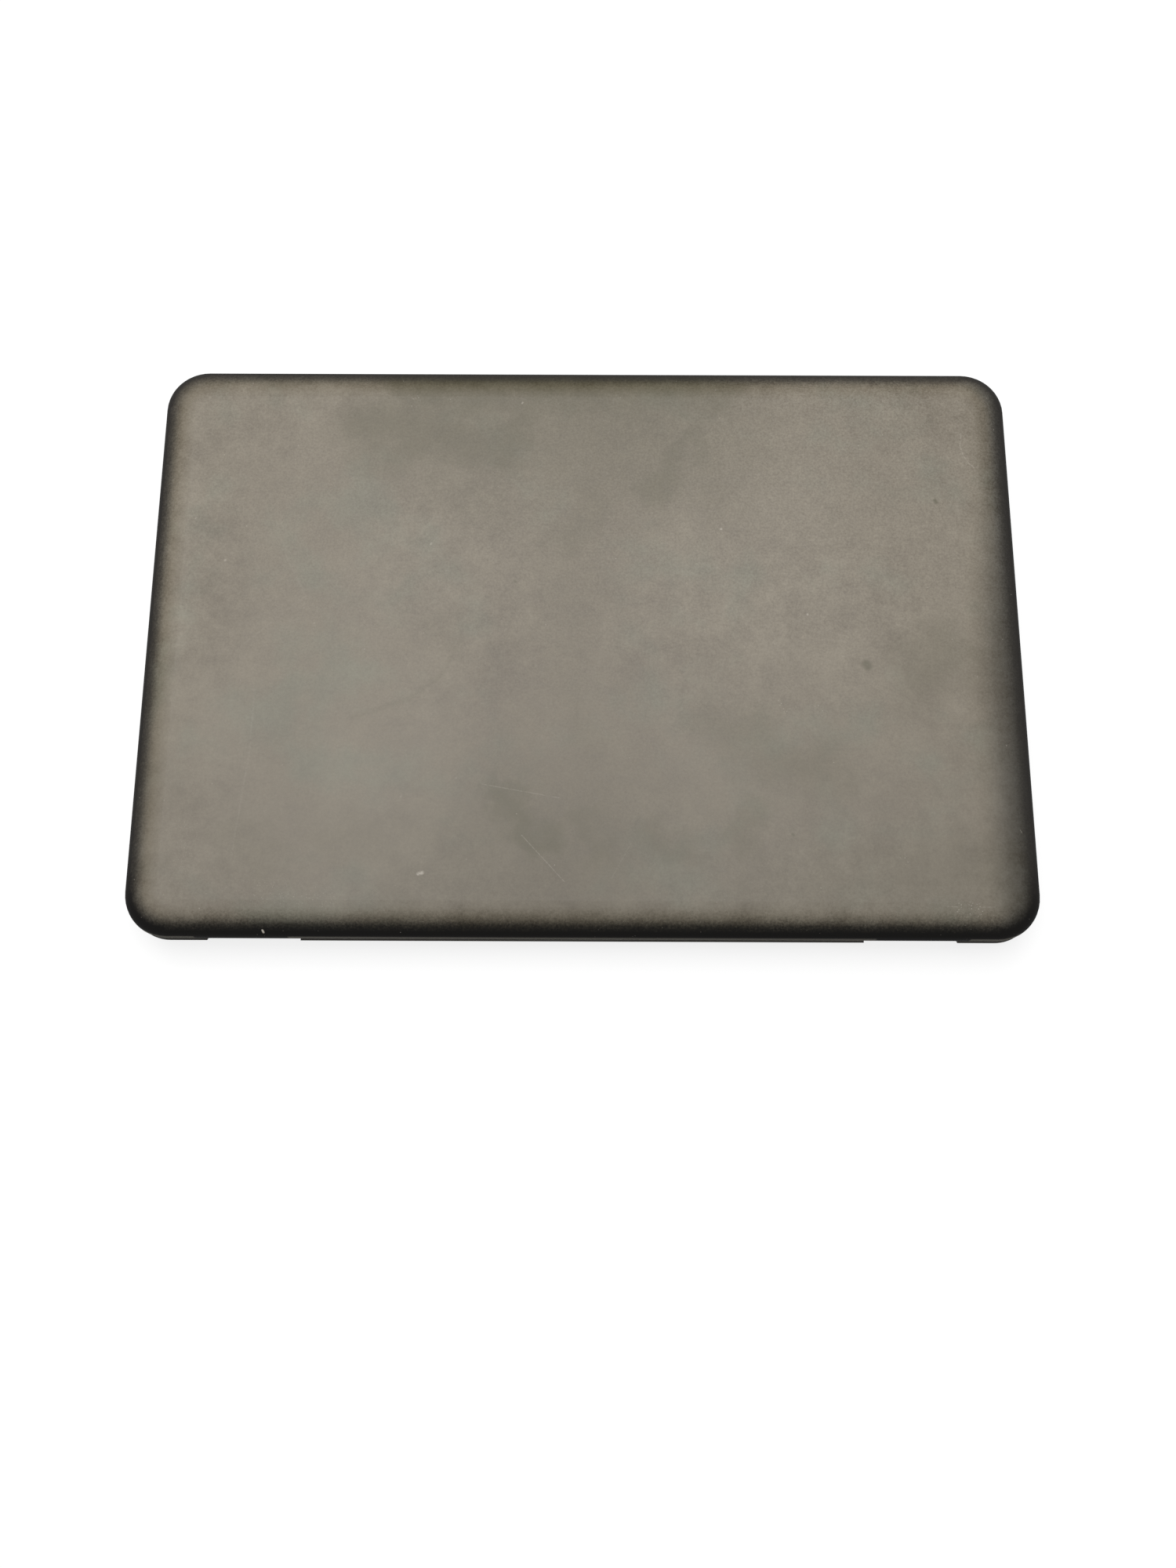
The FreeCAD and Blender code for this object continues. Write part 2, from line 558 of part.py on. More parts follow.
def roll_edge(body, name, width, depth, corner, height, crown, roll, edge):
    """A cut swept round a padded outline's top edge: a tight arc at the side runs into a wide arc on top."""
    path = sketch_on(body, name + "_path", "XY_Plane")
    rounded_outline(path, width, depth, corner)
    profile = sketch_on(body, name + "_profile", "YZ_Plane")
    bind(profile, **{"AttachmentOffset.Base.z": f"{corner} - ({width}) / 2"})
    side, low, top, beyond = f"-({depth}) / 2", f"{height} - ({roll})", height, "over"
    # a first shape of about the right form, which the dimensions below then set
    tight, wide, meet, margin = 3.0, 20.0, 1.1, 2.0
    half_turn = math.pi
    start = Vector(-tight, 0, 0)
    joint = Vector(-tight * math.cos(meet), tight * math.sin(meet), 0)
    centre = joint + Vector(wide * math.cos(meet), -wide * math.sin(meet), 0)
    end = centre + Vector(0, wide, 0)
    outside = Vector(-tight - margin, 0, 0)
    corners = [end, end + Vector(0, margin, 0), outside + Vector(0, end.y + margin, 0), outside, start]
    normal = Vector(0, 0, 1)
    profile.addGeometry(Part.ArcOfCircle(Part.Circle(Vector(), normal, tight), half_turn - meet, half_turn))
    profile.addGeometry(Part.ArcOfCircle(Part.Circle(centre, normal, wide), half_turn / 2, half_turn - meet))
    for one, other in zip(corners, corners[1:]):
        profile.addGeometry(Part.LineSegment(one, other))
    rules = [("Tangent", 0, 1, 1, 2), ("Coincident", 1, 1, 2, 1), ("Coincident", 2, 2, 3, 1),
             ("Coincident", 3, 2, 4, 1), ("Coincident", 4, 2, 5, 1), ("Coincident", 5, 2, 0, 2),
             ("Vertical", 2), ("Horizontal", 3), ("Vertical", 4), ("Horizontal", 5),
             ("Horizontal", 0, 3, 0, 2), ("Vertical", 1, 3, 1, 1)]
    for rule in rules:
        profile.addConstraint(Sketcher.Constraint(*rule))
    dimension(profile, "side", side, "DistanceX", 0, 2, -tight)
    dimension(profile, "low", low, "DistanceY", 0, 2, 0.0)
    dimension(profile, "inner", f"{side} + {crown}", "DistanceX", 1, 1, end.x)
    dimension(profile, "top", top, "DistanceY", 1, 1, end.y)
    dimension(profile, "edge", edge, "Radius", 0, tight)
    dimension(profile, "above", f"{top} + {beyond}", "DistanceY", 3, 1, end.y + margin)
    dimension(profile, "outside", f"{side} - {beyond}", "DistanceX", 4, 1, outside.x)
    sweep = body.newObject("PartDesign::SubtractivePipe", name)
    sweep.Profile = profile
    sweep.Spine = (path, [f"Edge{i}" for i in range(1, 9)])
    sweep.Mode = "Binormal"
    sweep.Binormal = normal
    return sweep


def slab(name, width, depth, corner, height, x="0", y="0", z="0", top_round=None, bottom_round=None):
    """A flat body with round corners, and round top or bottom edges where they are given."""
    body = new_body(name)
    outline = sketch_on(body, name + "_outline", "XY_Plane")
    rounded_outline(outline, width, depth, corner)
    last = extrude(body, name + "_pad", outline, height)
    if top_round:
        last = round_edges(body, name + "_top_edge", last, True, top_round)
    if bottom_round:
        last = round_edges(body, name + "_bottom_edge", last, False, bottom_round)
    body.Tip = last
    return place(body, x, y, z)


def side_prism(name, points, length, x="0", y="0", z="0"):
    """A body along X whose outline in Y and Z is a polygon, with its middle at x."""
    body = new_body(name)
    outline = sketch_on(body, name + "_outline", "YZ_Plane")
    polygon_outline(outline, points)
    body.Tip = extrude(body, name + "_pad", outline, length, both_ways=True)
    return place(body, x, y, z)


def copies(name, source, spots):
    """Linked copies of one object at several positions."""
    made = []
    for i, (x, y, z) in enumerate(spots):
        link = doc.addObject("App::Link", f"{name}_{i}")
        link.LinkedObject = source
        made.append(place(link, x, y, z))
    return made


def plan_prism(name, points, height, z="0"):
    """An upright body whose outline in X and Y is a polygon."""
    body = new_body(name)
    outline = sketch_on(body, name + "_outline", "XY_Plane")
    polygon_outline(outline, points)
    body.Tip = extrude(body, name + "_pad", outline, height)
    return place(body, z=z)


def side_bar(name, width, height, corner, length, x="0", y="0", z="0"):
    """A body along X from x on, whose outline in Y and Z is a rectangle with round corners."""
    body = new_body(name)
    outline = sketch_on(body, name + "_outline", "YZ_Plane")
    rounded_outline(outline, width, height, corner)
    body.Tip = extrude(body, name + "_pad", outline, length)
    return place(body, x, y, z)


# The base as one master shape: an outer block and a cavity, both with the leaning rear wall, and the trough
# that the lid's hinge roll turns in. The top case and the bottom cover are cut from it at the seam.

def behind_rear_wall(name, setback):
    """All that lies behind the leaning rear wall, set in from its outer face."""
    low, high = "-5", "rim_z + 15"
    face = "rear_y - ({}) - (rim_z - ({})) * tan(rear_slope)"
    points = [(face.format(setback, low), low), ("rear_y + 30", low),
              ("rear_y + 30", high), (face.format(setback, high), high)]
    return side_prism(name, points, "lid_width + 20")


def base_master():
    outer = cut("base_outer",
                slab("base_block", "base_width", "base_depth", "base_corner", "base_thickness",
                     y="base_y", z="foot_height", top_round="deck_edge", bottom_round="cover_roll"),
                behind_rear_wall("outer_lean", "0"))
    cavity = cut("base_cavity",
                 slab("cavity_block", "base_width - 2 * base_wall", "base_depth - 2 * base_wall",
                      "base_corner - base_wall", "ceiling_z - floor_z", y="base_y", z="floor_z",
                      bottom_round="cover_roll - base_wall"),
                 behind_rear_wall("cavity_lean", "base_wall / cos(rear_slope)"))
    trough_skin = common("trough_skin", outer,
                         rod("trough_outside", "trough_radius + trough_wall", "lid_width + 10",
                             "0", "hinge_y", "hinge_z"))
    shell = fuse("base_shell", cut("base_hollow", outer, cavity), trough_skin)
    swept = rod("trough_inside", "trough_radius", "lid_width + 10", "0", "hinge_y", "hinge_z")
    above_rim = box("above_rim", "lid_width + 10", "40", "40", "0", "hinge_y + 20", "rim_z")
    return cut("base_master", shell, swept, above_rim)


def half_space(name, z, height):
    return box(name, "lid_width + 30", "lid_depth + 30", height, z=z)


# Screw bosses of the case: three behind the keyboard, two beside its front corners and three at the front.
BOSS_X = "wall_x - boss_inset"
BOSS_SPOTS = [(f"{sign} * ({x})", y)
              for y, row in (("button_y", ("-1", "0", "1")),
                             ("keys_front_y - boss_middle", ("-1", "1")),
                             ("base_front_y + base_wall + boss_front", ("-1", "0", "1")))
              for sign, x in ((s, BOSS_X) for s in row)]


def at_bosses(name, source, z):
    return copies(name, source, [(x, y, z) for x, y in BOSS_SPOTS])


# Sockets in the sides: the middle along Y, the outline's width and height, corner radius and depth.
PORTS = {
    "usb_c_port": ("usb_c_y", "9.2", "3.4", "1.5", "8"),
    "hdmi_port": ("hdmi_y", "15.2", "5.7", "1.2", "11"),
    "usb_port_left": ("usb_left_y", "13.2", "5.8", "0.5", "12"),
    "usb_port_right": ("usb_right_y", "13.2", "5.8", "0.5", "12"),
}
RIGHT_PORTS = ("usb_port_right",)


def port_holes():
    """Cutters for the sockets, the headphone socket, the lock slot and the status light in the walls."""
    holes = []
    for name, (y, width, height, corner, depth) in PORTS.items():
        side = "1" if name in RIGHT_PORTS else "-1"
        holes.append(side_bar(name + "_hole", f"{width} + 2 * port_clearance",
                              f"{height} + 2 * port_clearance", f"{corner} + port_clearance", "3 * base_wall",
                              f"{side} * wall_x - 1.5 * base_wall", y, f"board_top_z + {height} / 2"))
    holes.append(rod("jack_hole", "jack_collar + port_clearance", "3 * base_wall", "wall_x", "jack_y",
                     "jack_z"))
    holes.append(box("lock_hole", "4 * base_wall", "lock_width", "lock_height", "wall_x", "lock_y",
                     "lock_z"))
    holes.append(box("light_hole", "light_width", "3 * base_wall", "light_height", "-light_x",
                     "base_front_y + base_wall", "light_z"))
    return holes


def palm_rest():
    """Top case: deck, side walls, trough, screw bosses and all its openings."""
    blank = common("palm_blank", MASTER, half_space("above_seam", "split_z", "50"))
    boss = cylinder("case_boss", "boss_radius", "ceiling_z - cup_z + sink")
    bracket_boss = cylinder("bracket_boss_rod", "bracket_boss", "bracket_drop + sink")
    bosses = at_bosses("case_boss_at", boss, "cup_z")
    bosses += copies("bracket_boss_at", bracket_boss, [(x, y, "bracket_z + foot_plate")
                                                      for x, y in BRACKET_SCREWS])
    solid = fuse("palm_solid", blank, *bosses)
    bore = cylinder("case_bore", "screw_radius + screw_clearance", "boss_bore_depth + over")
    bracket_bore = cylinder("bracket_bore", "small_screw + screw_clearance", "bracket_drop + over")
    tools = at_bosses("case_bore_at", bore, "cup_z - over")
    tools += copies("bracket_bore_at", bracket_bore, [(x, y, "bracket_z + foot_plate - over")
                                                     for x, y in BRACKET_SCREWS])
    through = "deck_wall + 2 * over"
    tools.append(box("keyboard_hole", "field_width + 2 * field_clearance",
                     "field_depth + 2 * field_clearance", through, "0", "keys_y", "ceiling_z - over"))
    tools.append(slab("touchpad_hole", "touchpad_width + 2 * touchpad_clearance",
                      "touchpad_depth + 2 * touchpad_clearance", "touchpad_corner + touchpad_clearance",
                      through, "0", "touchpad_y", "ceiling_z - over"))
    tools.append(slab("button_hole", "button_width + 2 * button_clearance",
                      "button_depth + 2 * button_clearance", "button_corner + button_clearance",
                      through, "button_x", "button_y", "ceiling_z - over"))
    for side in ("-1", "1"):
        tag = "left" if side == "-1" else "right"
        tools.append(box("slit_" + tag, "ear_thickness + 2 * slit_gap", "neck_front + slit_gap",
                         "lid_roll", f"{side} * hinge_x", "hinge_y - (neck_front + slit_gap) / 2",
                         "hinge_z - ear_bottom - slit_gap"))
        tools.append(box("notch_" + tag, "hinge_notch", "lid_roll * 2", "notch_depth + over",
                         f"{side} * hinge_x", "hinge_y + lid_roll", "rim_z - notch_depth"))
    tools.append(rod("finger_scoop", "scoop_radius", "scoop_width", "0",
                     "base_front_y - scoop_radius + scoop_depth", "deck_z"))
    return cut("palm_rest", solid, *tools, *port_holes())


def bottom_cover():
    """Bottom cover: floor and rolled edge, screw cups, board posts, foot pockets, vents and speaker slots."""
    blank = common("cover_blank", MASTER, half_space("below_seam", "-10", "split_z + 10"))
    cup = cylinder("screw_cup", "cup_radius", "cup_height + sink")
    post = cylinder("board_post", "post_radius", "post_height + sink")
    raised = at_bosses("screw_cup_at", cup, "floor_z - sink")
    raised += copies("board_post_at", post, [(x, y, "floor_z - sink") for x, y in BOARD_SPOTS])
    solid = fuse("cover_solid", blank, *raised)
    head = cylinder("head_recess", "screw_head + port_clearance", "cup_z - cup_roof + over")
    shank = cylinder("shank_hole", "screw_radius + screw_clearance", "cup_z + over")
    small = cylinder("post_bore", "small_screw + screw_clearance", "post_height + over")
    tools = at_bosses("head_recess_at", head, "-over") + at_bosses("shank_hole_at", shank, "0")
    tools += copies("post_bore_at", small, [(x, y, "floor_z") for x, y in BOARD_SPOTS])
    pocket = slab("foot_pocket", "foot_length + 2 * foot_gap", "foot_depth + 2 * foot_gap",
                  "foot_corner + foot_gap", "foot_seat + over")
    tools += copies("foot_pocket_at", pocket, [(x, y, "foot_height - over") for x, y in FOOT_SPOTS])
    slot = slab("floor_slot", "slot_length", "slot_width", "slot_width * 0.45", "floor_wall + 2 * over")
    tools += copies("floor_slot_at", slot, [(x, y, "foot_height - over")
                                            for x, y in VENT_SPOTS + GRILLE_SPOTS])
    return cut("bottom_cover", solid, *tools)


# Hinges. A steel bracket in the base carries a knuckle on a short arm that reaches over the trough. A steel
# arm in the lid carries the other knuckle and the pin. The axis is the centre of the lid's rolled edge, so
# the edge turns in place.
BRACKET_SCREWS = [(f"{side} * hinge_x + {way} * bracket_screw_spacing / 2", "hinge_y - bracket_reach")
                  for side in ("-1", "1") for way in ("-1", "1")]


def hinge_bracket():
    """Left bracket of the base: plate with two screw holes, neck, arm and knuckle with the pin's bore."""
    arm = side_prism("bracket_arm",
                     [("-neck_front", "bracket_z - hinge_z"), ("-neck_front", "-ear_top"), ("0", "-ear_top"),
                      ("0", "-ear_bottom"), ("neck_depth - neck_front", "-ear_bottom"),
                      ("neck_depth - neck_front", "bracket_z - hinge_z")],
                     "ear_thickness", "-hinge_x", "hinge_y", "hinge_z")
    knuckle = rod("bracket_knuckle", "ear_radius", "ear_thickness", "-hinge_x", "hinge_y", "hinge_z")
    plate = slab("bracket_plate", "bracket_width", "bracket_depth", "plate_corner", "foot_plate", "-hinge_x",
                 "hinge_y - bracket_reach", "bracket_z")
    hole = cylinder("bracket_hole", "small_screw + screw_clearance", "foot_plate + 2 * over")
    holes = copies("bracket_hole_at", hole, [(x, y, "bracket_z - over") for x, y in BRACKET_SCREWS[:2]])
    bore = rod("bracket_pin_bore", "pin_radius + pin_clearance", "ear_thickness + 2 * over", "-hinge_x",
               "hinge_y", "hinge_z")
    return cut("hinge_bracket_left", fuse("bracket_solid", arm, knuckle, plate), bore, *holes)


ARM_X = "-hinge_x - ear_thickness / 2 - arm_gap - arm_ear / 2"
RAIL_IN = "-(panel_width / 2 + rail_gap)"
RAIL_OUT = "-(panel_width / 2 + rail_gap + arm_rail_width)"
LEAF_REAR = "hinge_y - arm_leaf_back"
LEAF_FRONT = "hinge_y - arm_leaf_back - arm_leaf_depth"
ARM_SCREWS = [("-hinge_x + arm_leaf_reach - arm_screw_inset", f"{LEAF_FRONT} + arm_screw_inset"),
              ("-hinge_x - arm_screw_out", f"{LEAF_FRONT} + arm_screw_inset"),
              (f"({RAIL_IN} + {RAIL_OUT}) / 2", f"{LEAF_FRONT} - arm_rail_length / 2")]


def hinge_arm():
    """Left arm of the lid: a leaf below the screen, a rail beside it, and a knuckle on a gusset."""
    leaf = plan_prism("arm_leaf",
                      [("-hinge_x + arm_leaf_reach", LEAF_REAR), ("-hinge_x + arm_leaf_reach", LEAF_FRONT),
                       (RAIL_IN, LEAF_FRONT), (RAIL_IN, f"{LEAF_FRONT} - arm_rail_length"),
                       (RAIL_OUT, f"{LEAF_FRONT} - arm_rail_length"), (RAIL_OUT, LEAF_REAR)],
                      "foot_plate", "leaf_z")
    gusset = side_prism("arm_gusset",
                        [("-2 * arm_leaf_back", "leaf_top_z - hinge_z"),
                         ("-2 * arm_leaf_back", "leaf_z - hinge_z"),
                         ("-1.2 * arm_leaf_back", "leaf_z - hinge_z"), ("-0.9 * ear_radius", "0"), ("0", "0"),
                         ("-0.9 * ear_radius", "leaf_top_z - hinge_z")],
                        "arm_ear", ARM_X, "hinge_y", "hinge_z")
    knuckle = rod("arm_knuckle", "ear_radius", "arm_ear", ARM_X, "hinge_y", "hinge_z")
    hole = cylinder("arm_hole", "small_screw + screw_clearance", "foot_plate + 2 * over")
    holes = copies("arm_hole_at", hole, [(x, y, "leaf_z - over") for x, y in ARM_SCREWS])
    bore = rod("arm_pin_bore", "pin_radius", "arm_ear + 2 * over", ARM_X, "hinge_y", "hinge_z")
    return cut("hinge_arm_left", fuse("arm_solid", leaf, gusset, knuckle), bore, *holes)


def hinge_pin():
    """Left pin with its round head on the inner side and its end in the nut."""
    inner = "-hinge_x + ear_thickness / 2 + arm_gap / 2"
    outer = f"{ARM_X} - arm_ear / 2 - pin_head_length - pin_end"
    length = f"({inner}) - ({outer})"
    shank = rod("pin_shank", "pin_radius", length, f"(({inner}) + ({outer})) / 2", "hinge_y", "hinge_z")
    head = rod("pin_cap", "pin_head", "pin_head_length", f"{inner} + pin_head_length / 2", "hinge_y",
               "hinge_z")
    return fuse("hinge_pin_left", shank, head)


def hinge_nut():
    """Hexagon nut that holds the lid's arm on the pin."""
    nut = doc.addObject("Part::Prism", "nut_block")
    nut.Polygon = 6
    bind(nut, Circumradius="pin_head", Height="pin_head_length")
    nut.Placement = Placement(Vector(), Rotation(Vector(0, 1, 0), 90))
    place(nut, f"{ARM_X} - arm_ear / 2 - pin_head_length", "hinge_y", "hinge_z")
    return cut("nut_left", nut, rod("nut_bore", "pin_radius", "pin_head_length + 2 * over",
                                    f"{ARM_X} - arm_ear / 2 - pin_head_length / 2", "hinge_y", "hinge_z"))


def small_screws(name, spots, z, length, upwards):
    """Small screws whose heads touch the level z, with shanks that run up or down from it."""
    head = cylinder(name + "_head", "small_screw_head", "small_screw_cap",
                    z="-small_screw_cap" if upwards else "0")
    shank = cylinder(name + "_shank", "small_screw", length, z="0" if upwards else f"-({length})")
    screw = fuse(name + "_one", head, shank)
    return group(name, copies(name + "_at", screw, [(x, y, z) for x, y in spots]))


# Lid.

def rolled_slab(name, inset, height, z):
    """The lid's outer form, or a smaller one that runs level with it, set in by a wall."""
    width, depth, corner = f"lid_width - 2 * {inset}", f"lid_depth - 2 * {inset}", f"lid_corner - {inset}"
    body = new_body(name)
    outline = sketch_on(body, name + "_outline", "XY_Plane")
    rounded_outline(outline, width, depth, corner)
    body.Tip = extrude(body, name + "_pad", outline, height)
    body.Tip = roll_edge(body, name + "_edge", width, depth, corner, height, f"lid_crown - {inset}",
                         f"lid_roll - {inset}", f"lid_edge - {inset}")
    return place(body, y="lid_y", z=z)


def lid_back_cover():
    """Back cover: a tray with rolled edges all round, and pads under the hinge arms."""
    outer = rolled_slab("lid_block", "0", "lid_thickness", "bezel_z")
    cavity = rolled_slab("lid_cavity", "lid_wall", "lid_thickness - lid_wall + over", "bezel_z - over")
    pad = cylinder("arm_pad", "boss_radius", "lid_ceiling_z - leaf_top_z + sink")
    bore = cylinder("arm_pad_bore", "small_screw + screw_clearance",
                    "lid_ceiling_z - leaf_top_z + lid_wall / 2")
    spots = ARM_SCREWS + [(f"-({x})", y) for x, y in ARM_SCREWS]
    pads = copies("arm_pad_at", pad, [(x, y, "leaf_top_z") for x, y in spots])
    bores = copies("arm_pad_bore_at", bore, [(x, y, "leaf_top_z - sink") for x, y in spots])
    return cut("lid_back_cover", fuse("lid_solid", cut("lid_tray", outer, cavity), *pads), *bores)


def lid_bezel():
    """Bezel: a frame round the screen, open above the two hinges."""
    inset = "lid_wall + bezel_clearance"
    plate = slab("bezel_plate", f"lid_width - 2 * ({inset})", f"lid_depth - 2 * ({inset})",
                 f"lid_corner - ({inset})", "bezel_thickness", y="lid_y", z="bezel_z")
    through = "bezel_thickness + 2 * over"
    tools = [box("screen_window", "screen_width", "screen_height", through, "0", "screen_y",
                 "bezel_z - over"),
             cylinder("lens_hole", "lens_radius + lens_gap", through, "0", "webcam_y", "bezel_z - over")]
    tools += [box("hinge_window_" + tag, "hinge_window", "2 * (lid_roll - barrel_wall + sink / 2)", through,
                  f"{side} * hinge_x", "hinge_y", "bezel_z - over")
              for tag, side in (("left", "-1"), ("right", "1"))]
    return cut("lid_bezel", plate, *tools)


def hinge_covers():
    """Half-round covers under the bezel's rear edge that turn in the trough: a long one and two end caps."""
    tools = [rod("roll_inside", "lid_roll - barrel_wall", "barrel_length - 2 * barrel_wall", "0", "hinge_y",
                 "hinge_z"),
             box("above_roll", "lid_width", "4 * lid_roll", "4 * lid_roll", "0", "hinge_y", "bezel_z")]
    tools += [box("arm_slit_" + tag, "ear_thickness + 2 * slit_gap", "2 * (lid_roll + over)",
                  "lid_roll + over", f"{side} * hinge_x", "hinge_y", "hinge_z - lid_roll - over")
              for tag, side in (("left", "-1"), ("right", "1"))]
    return cut("hinge_covers", rod("roll_outside", "lid_roll", "barrel_length", "0", "hinge_y", "hinge_z"),
               *tools)


def lid_pieces():
    """The screen and the small pieces in the lid, which lie on the bezel."""
    panel_depth = "panel_rear_y - panel_front_y"
    panel_y = "(panel_rear_y + panel_front_y) / 2"
    driver_y = "panel_rear_y + driver_gap + driver_depth / 2"
    node("lcd_cell", slab("lcd_cell", "panel_width", panel_depth, "panel_corner", "cell_thickness", "0",
                          panel_y, "bezel_top_z"))
    node("backlight_unit", slab("backlight_unit", "panel_width", panel_depth, "panel_corner",
                                "backlight_thickness", "0", panel_y, "bezel_top_z + cell_thickness"))
    driver_width = "2 * (hinge_x - arm_leaf_reach - driver_side)"
    board = box("driver_strip", driver_width, "driver_depth", "strip_board", "0", driver_y, "bezel_top_z")
    plug = box("driver_plug", "driver_plug_width", "driver_plug_depth", "driver_plug_height",
               "cable_x + driver_plug_inset", driver_y, "bezel_top_z")
    node("lcd_driver_board", fuse("lcd_driver_board", board, plug))
    cable_front = f"({driver_y} + driver_depth / 2 + driver_gap)"
    cable_rear = "(hinge_y - cable_end)"
    node("display_cable_lid", box("display_cable_lid", "cable_width", f"{cable_rear} - {cable_front}",
                                  "cable_thickness", "cable_x", f"({cable_rear} + {cable_front}) / 2",
                                  "bezel_top_z"))
    strip = box("webcam_strip", "webcam_width", "webcam_depth", "strip_board", "0", "webcam_y", "bezel_top_z")
    eye = cylinder("webcam_eye_block", "lens_radius + shell_wall", "webcam_eye", "0", "webcam_y",
                   "bezel_top_z")
    node("webcam_board", fuse("webcam_board", strip, eye))
    node("webcam_lens", cylinder("webcam_lens", "lens_radius", "bezel_thickness - lens_recess", "0",
                                 "webcam_y", "bezel_z + lens_recess"))
    antenna = slab("antenna", "antenna_width", "webcam_depth", "plate_corner / 2", "cable_thickness")
    node("wifi_antennas", group("wifi_antennas", copies("antenna_at", antenna, [
        (f"{side} * screen_width / 3", "webcam_y", "bezel_top_z") for side in ("-1", "1")])))
    bumper = slab("bumper", "bumper_width", "bumper_depth", "bumper_corner", "lid_gap - bumper_gap")
    node("lid_bumpers", group("lid_bumpers", copies("bumper_at", bumper, [
        (f"{side} * bumper_x", y, "deck_z + bumper_gap")
        for side in ("-1", "1") for y in ("webcam_y", "screen_rear_y")])))


# Keyboard.

def key_spots():
    """Each key's node, width and depth in formulas, and its middle."""
    spots = []
    for row, runs in enumerate(KEY_ROWS):
        depth = "function_depth" if row == 0 else "key_pitch"
        back = "0" if row == 0 else f"function_depth + {row - 1} * key_pitch"
        y = f"keys_rear_y - ({back}) - {depth} / 2"
        start = 0.0
        for name, widths in runs:
            for i, width in enumerate(widths):
                x = f"{start + width / 2} * key_pitch - keys_width / 2"
                if name == "arrow_keys" and i == 1:
                    half = "key_pitch / 2 + key_gap / 4"
                    for side in ("+", "-"):
                        spots.append((name, width, half, x, f"{y} {side} (key_pitch / 4 - key_gap / 8)"))
                else:
                    spots.append((name, width, depth, x, y))
                start += width
    return spots


def keyboard():
    """Keycaps in rows, the lattice round them, and the membrane and steel plate below."""
    caps, holes, rows, cutters = {}, {}, {}, []
    for i, (name, width, depth, x, y) in enumerate(key_spots()):
        size = (width, depth)
        if size not in caps:
            tag = f"{len(caps)}"
            wide, deep = f"{width} * key_pitch - key_gap", f"{depth} - key_gap"
            body = new_body("keycap_" + tag)
            outline = sketch_on(body, f"keycap_{tag}_outline", "XY_Plane")
            rounded_outline(outline, wide, deep, "key_corner")
            body.Tip = extrude(body, f"keycap_{tag}_pad", outline, "key_height", taper="-key_taper")
            caps[size] = body
            holes[size] = box("key_hole_" + tag, f"{wide} + 2 * key_clearance", f"{deep} + 2 * key_clearance",
                              "lattice_rib + 2 * over")
        rows.setdefault(name, []).extend(copies(f"key_{i}", caps[size], [(x, y, "key_z")]))
        cutters.extend(copies(f"key_hole_at_{i}", holes[size], [
            (f"{x} - ({width} * key_pitch - key_gap) / 2 - key_clearance",
             f"{y} - ({depth} - key_gap) / 2 - key_clearance", "lattice_z - over")]))
    for name, keys in rows.items():
        node(name, keys[0] if len(keys) == 1 else group(name, keys))
    outer_width, outer_depth = "field_width + 2 * lattice_flange", "field_depth + 2 * lattice_flange"
    grid = box("lattice_grid", "field_width", "field_depth", "lattice_rib", "0", "keys_y", "lattice_z")
    flange = box("lattice_edge", outer_width, outer_depth, "ceiling_z - plate_z - plate_thickness", "0",
                 "keys_y", "plate_z + plate_thickness")
    inside = box("lattice_inside", "field_width", "field_depth",
                 "lattice_z - plate_z - plate_thickness + over", "0", "keys_y",
                 "plate_z + plate_thickness - over")
    frame = fuse("lattice_frame", grid, cut("lattice_skirt", flange, inside))
    node("keyboard_lattice", cut("keyboard_lattice", frame, group("key_holes", cutters)))
    node("key_membrane", box("key_membrane", "field_width - 2 * membrane_inset",
                             "field_depth - 2 * membrane_inset", "membrane_thickness", "0", "keys_y",
                             "membrane_z"))
    node("keyboard_plate", slab("keyboard_plate", outer_width, outer_depth, "plate_corner", "plate_thickness",
                                "0", "keys_y", "plate_z"))


# Base electronics and fittings.
BOARD_SPOTS = [("-board_edge_x + 4 * board_screw_inset", "board_rear_y - board_screw_inset"),
               ("board_reach - board_screw_inset", "board_rear_y - board_screw_inset"),
               ("-board_edge_x + 7 * board_screw_inset", "board_front_y + board_screw_inset"),
               ("board_step - board_screw_inset", "board_front_y + board_screw_inset"),
               ("io_x - io_width / 2 + board_screw_inset", "io_y + io_depth / 2 - board_screw_inset"),
               ("io_x - io_width / 2 + board_screw_inset", "io_y - io_depth / 2 + board_screw_inset")]
FOOT_SPOTS = [(f"{side} * foot_x", y) for side in ("-1", "1") for y in ("foot_front_y", "foot_rear_y")]
VENT_SPOTS = [(f"{column} * (slot_length + slot_pitch) - processor_x", f"processor_y + {row} * slot_pitch")
              for column in (-1, 0, 1) for row in (-3, -2, -1, 0, 1, 2, 3)]
GRILLE_SPOTS = [(f"{side} * speaker_x", f"battery_y + {row} * slot_pitch")
                for side in ("-1", "1") for row in (-2, -1, 0, 1, 2)]


def socket(name):
    """A socket on a board: a metal shell round a tongue, with its mouth in the side wall."""
    y, width, height, corner, depth = PORTS[name]
    mouth = "port_setback - side_x"
    z = f"board_top_z + {height} / 2"
    shell = side_bar(name + "_shell", width, height, corner, depth, mouth, y, z)
    hollow = side_bar(name + "_hollow", f"{width} - 2 * shell_wall", f"{height} - 2 * shell_wall",
                      f"{corner} - shell_wall", f"{depth} - shell_wall + over", f"{mouth} - over", y, z)
    length = f"({depth} - base_wall)"
    tongue = box(name + "_tongue", length, f"0.76 * {width}", f"0.2 * {height}",
                 f"{mouth} + {depth} - {length} / 2", y, f"{z} - 0.1 * {height}")
    return fuse(name + "_whole", cut(name + "_sleeve", shell, hollow), tongue)


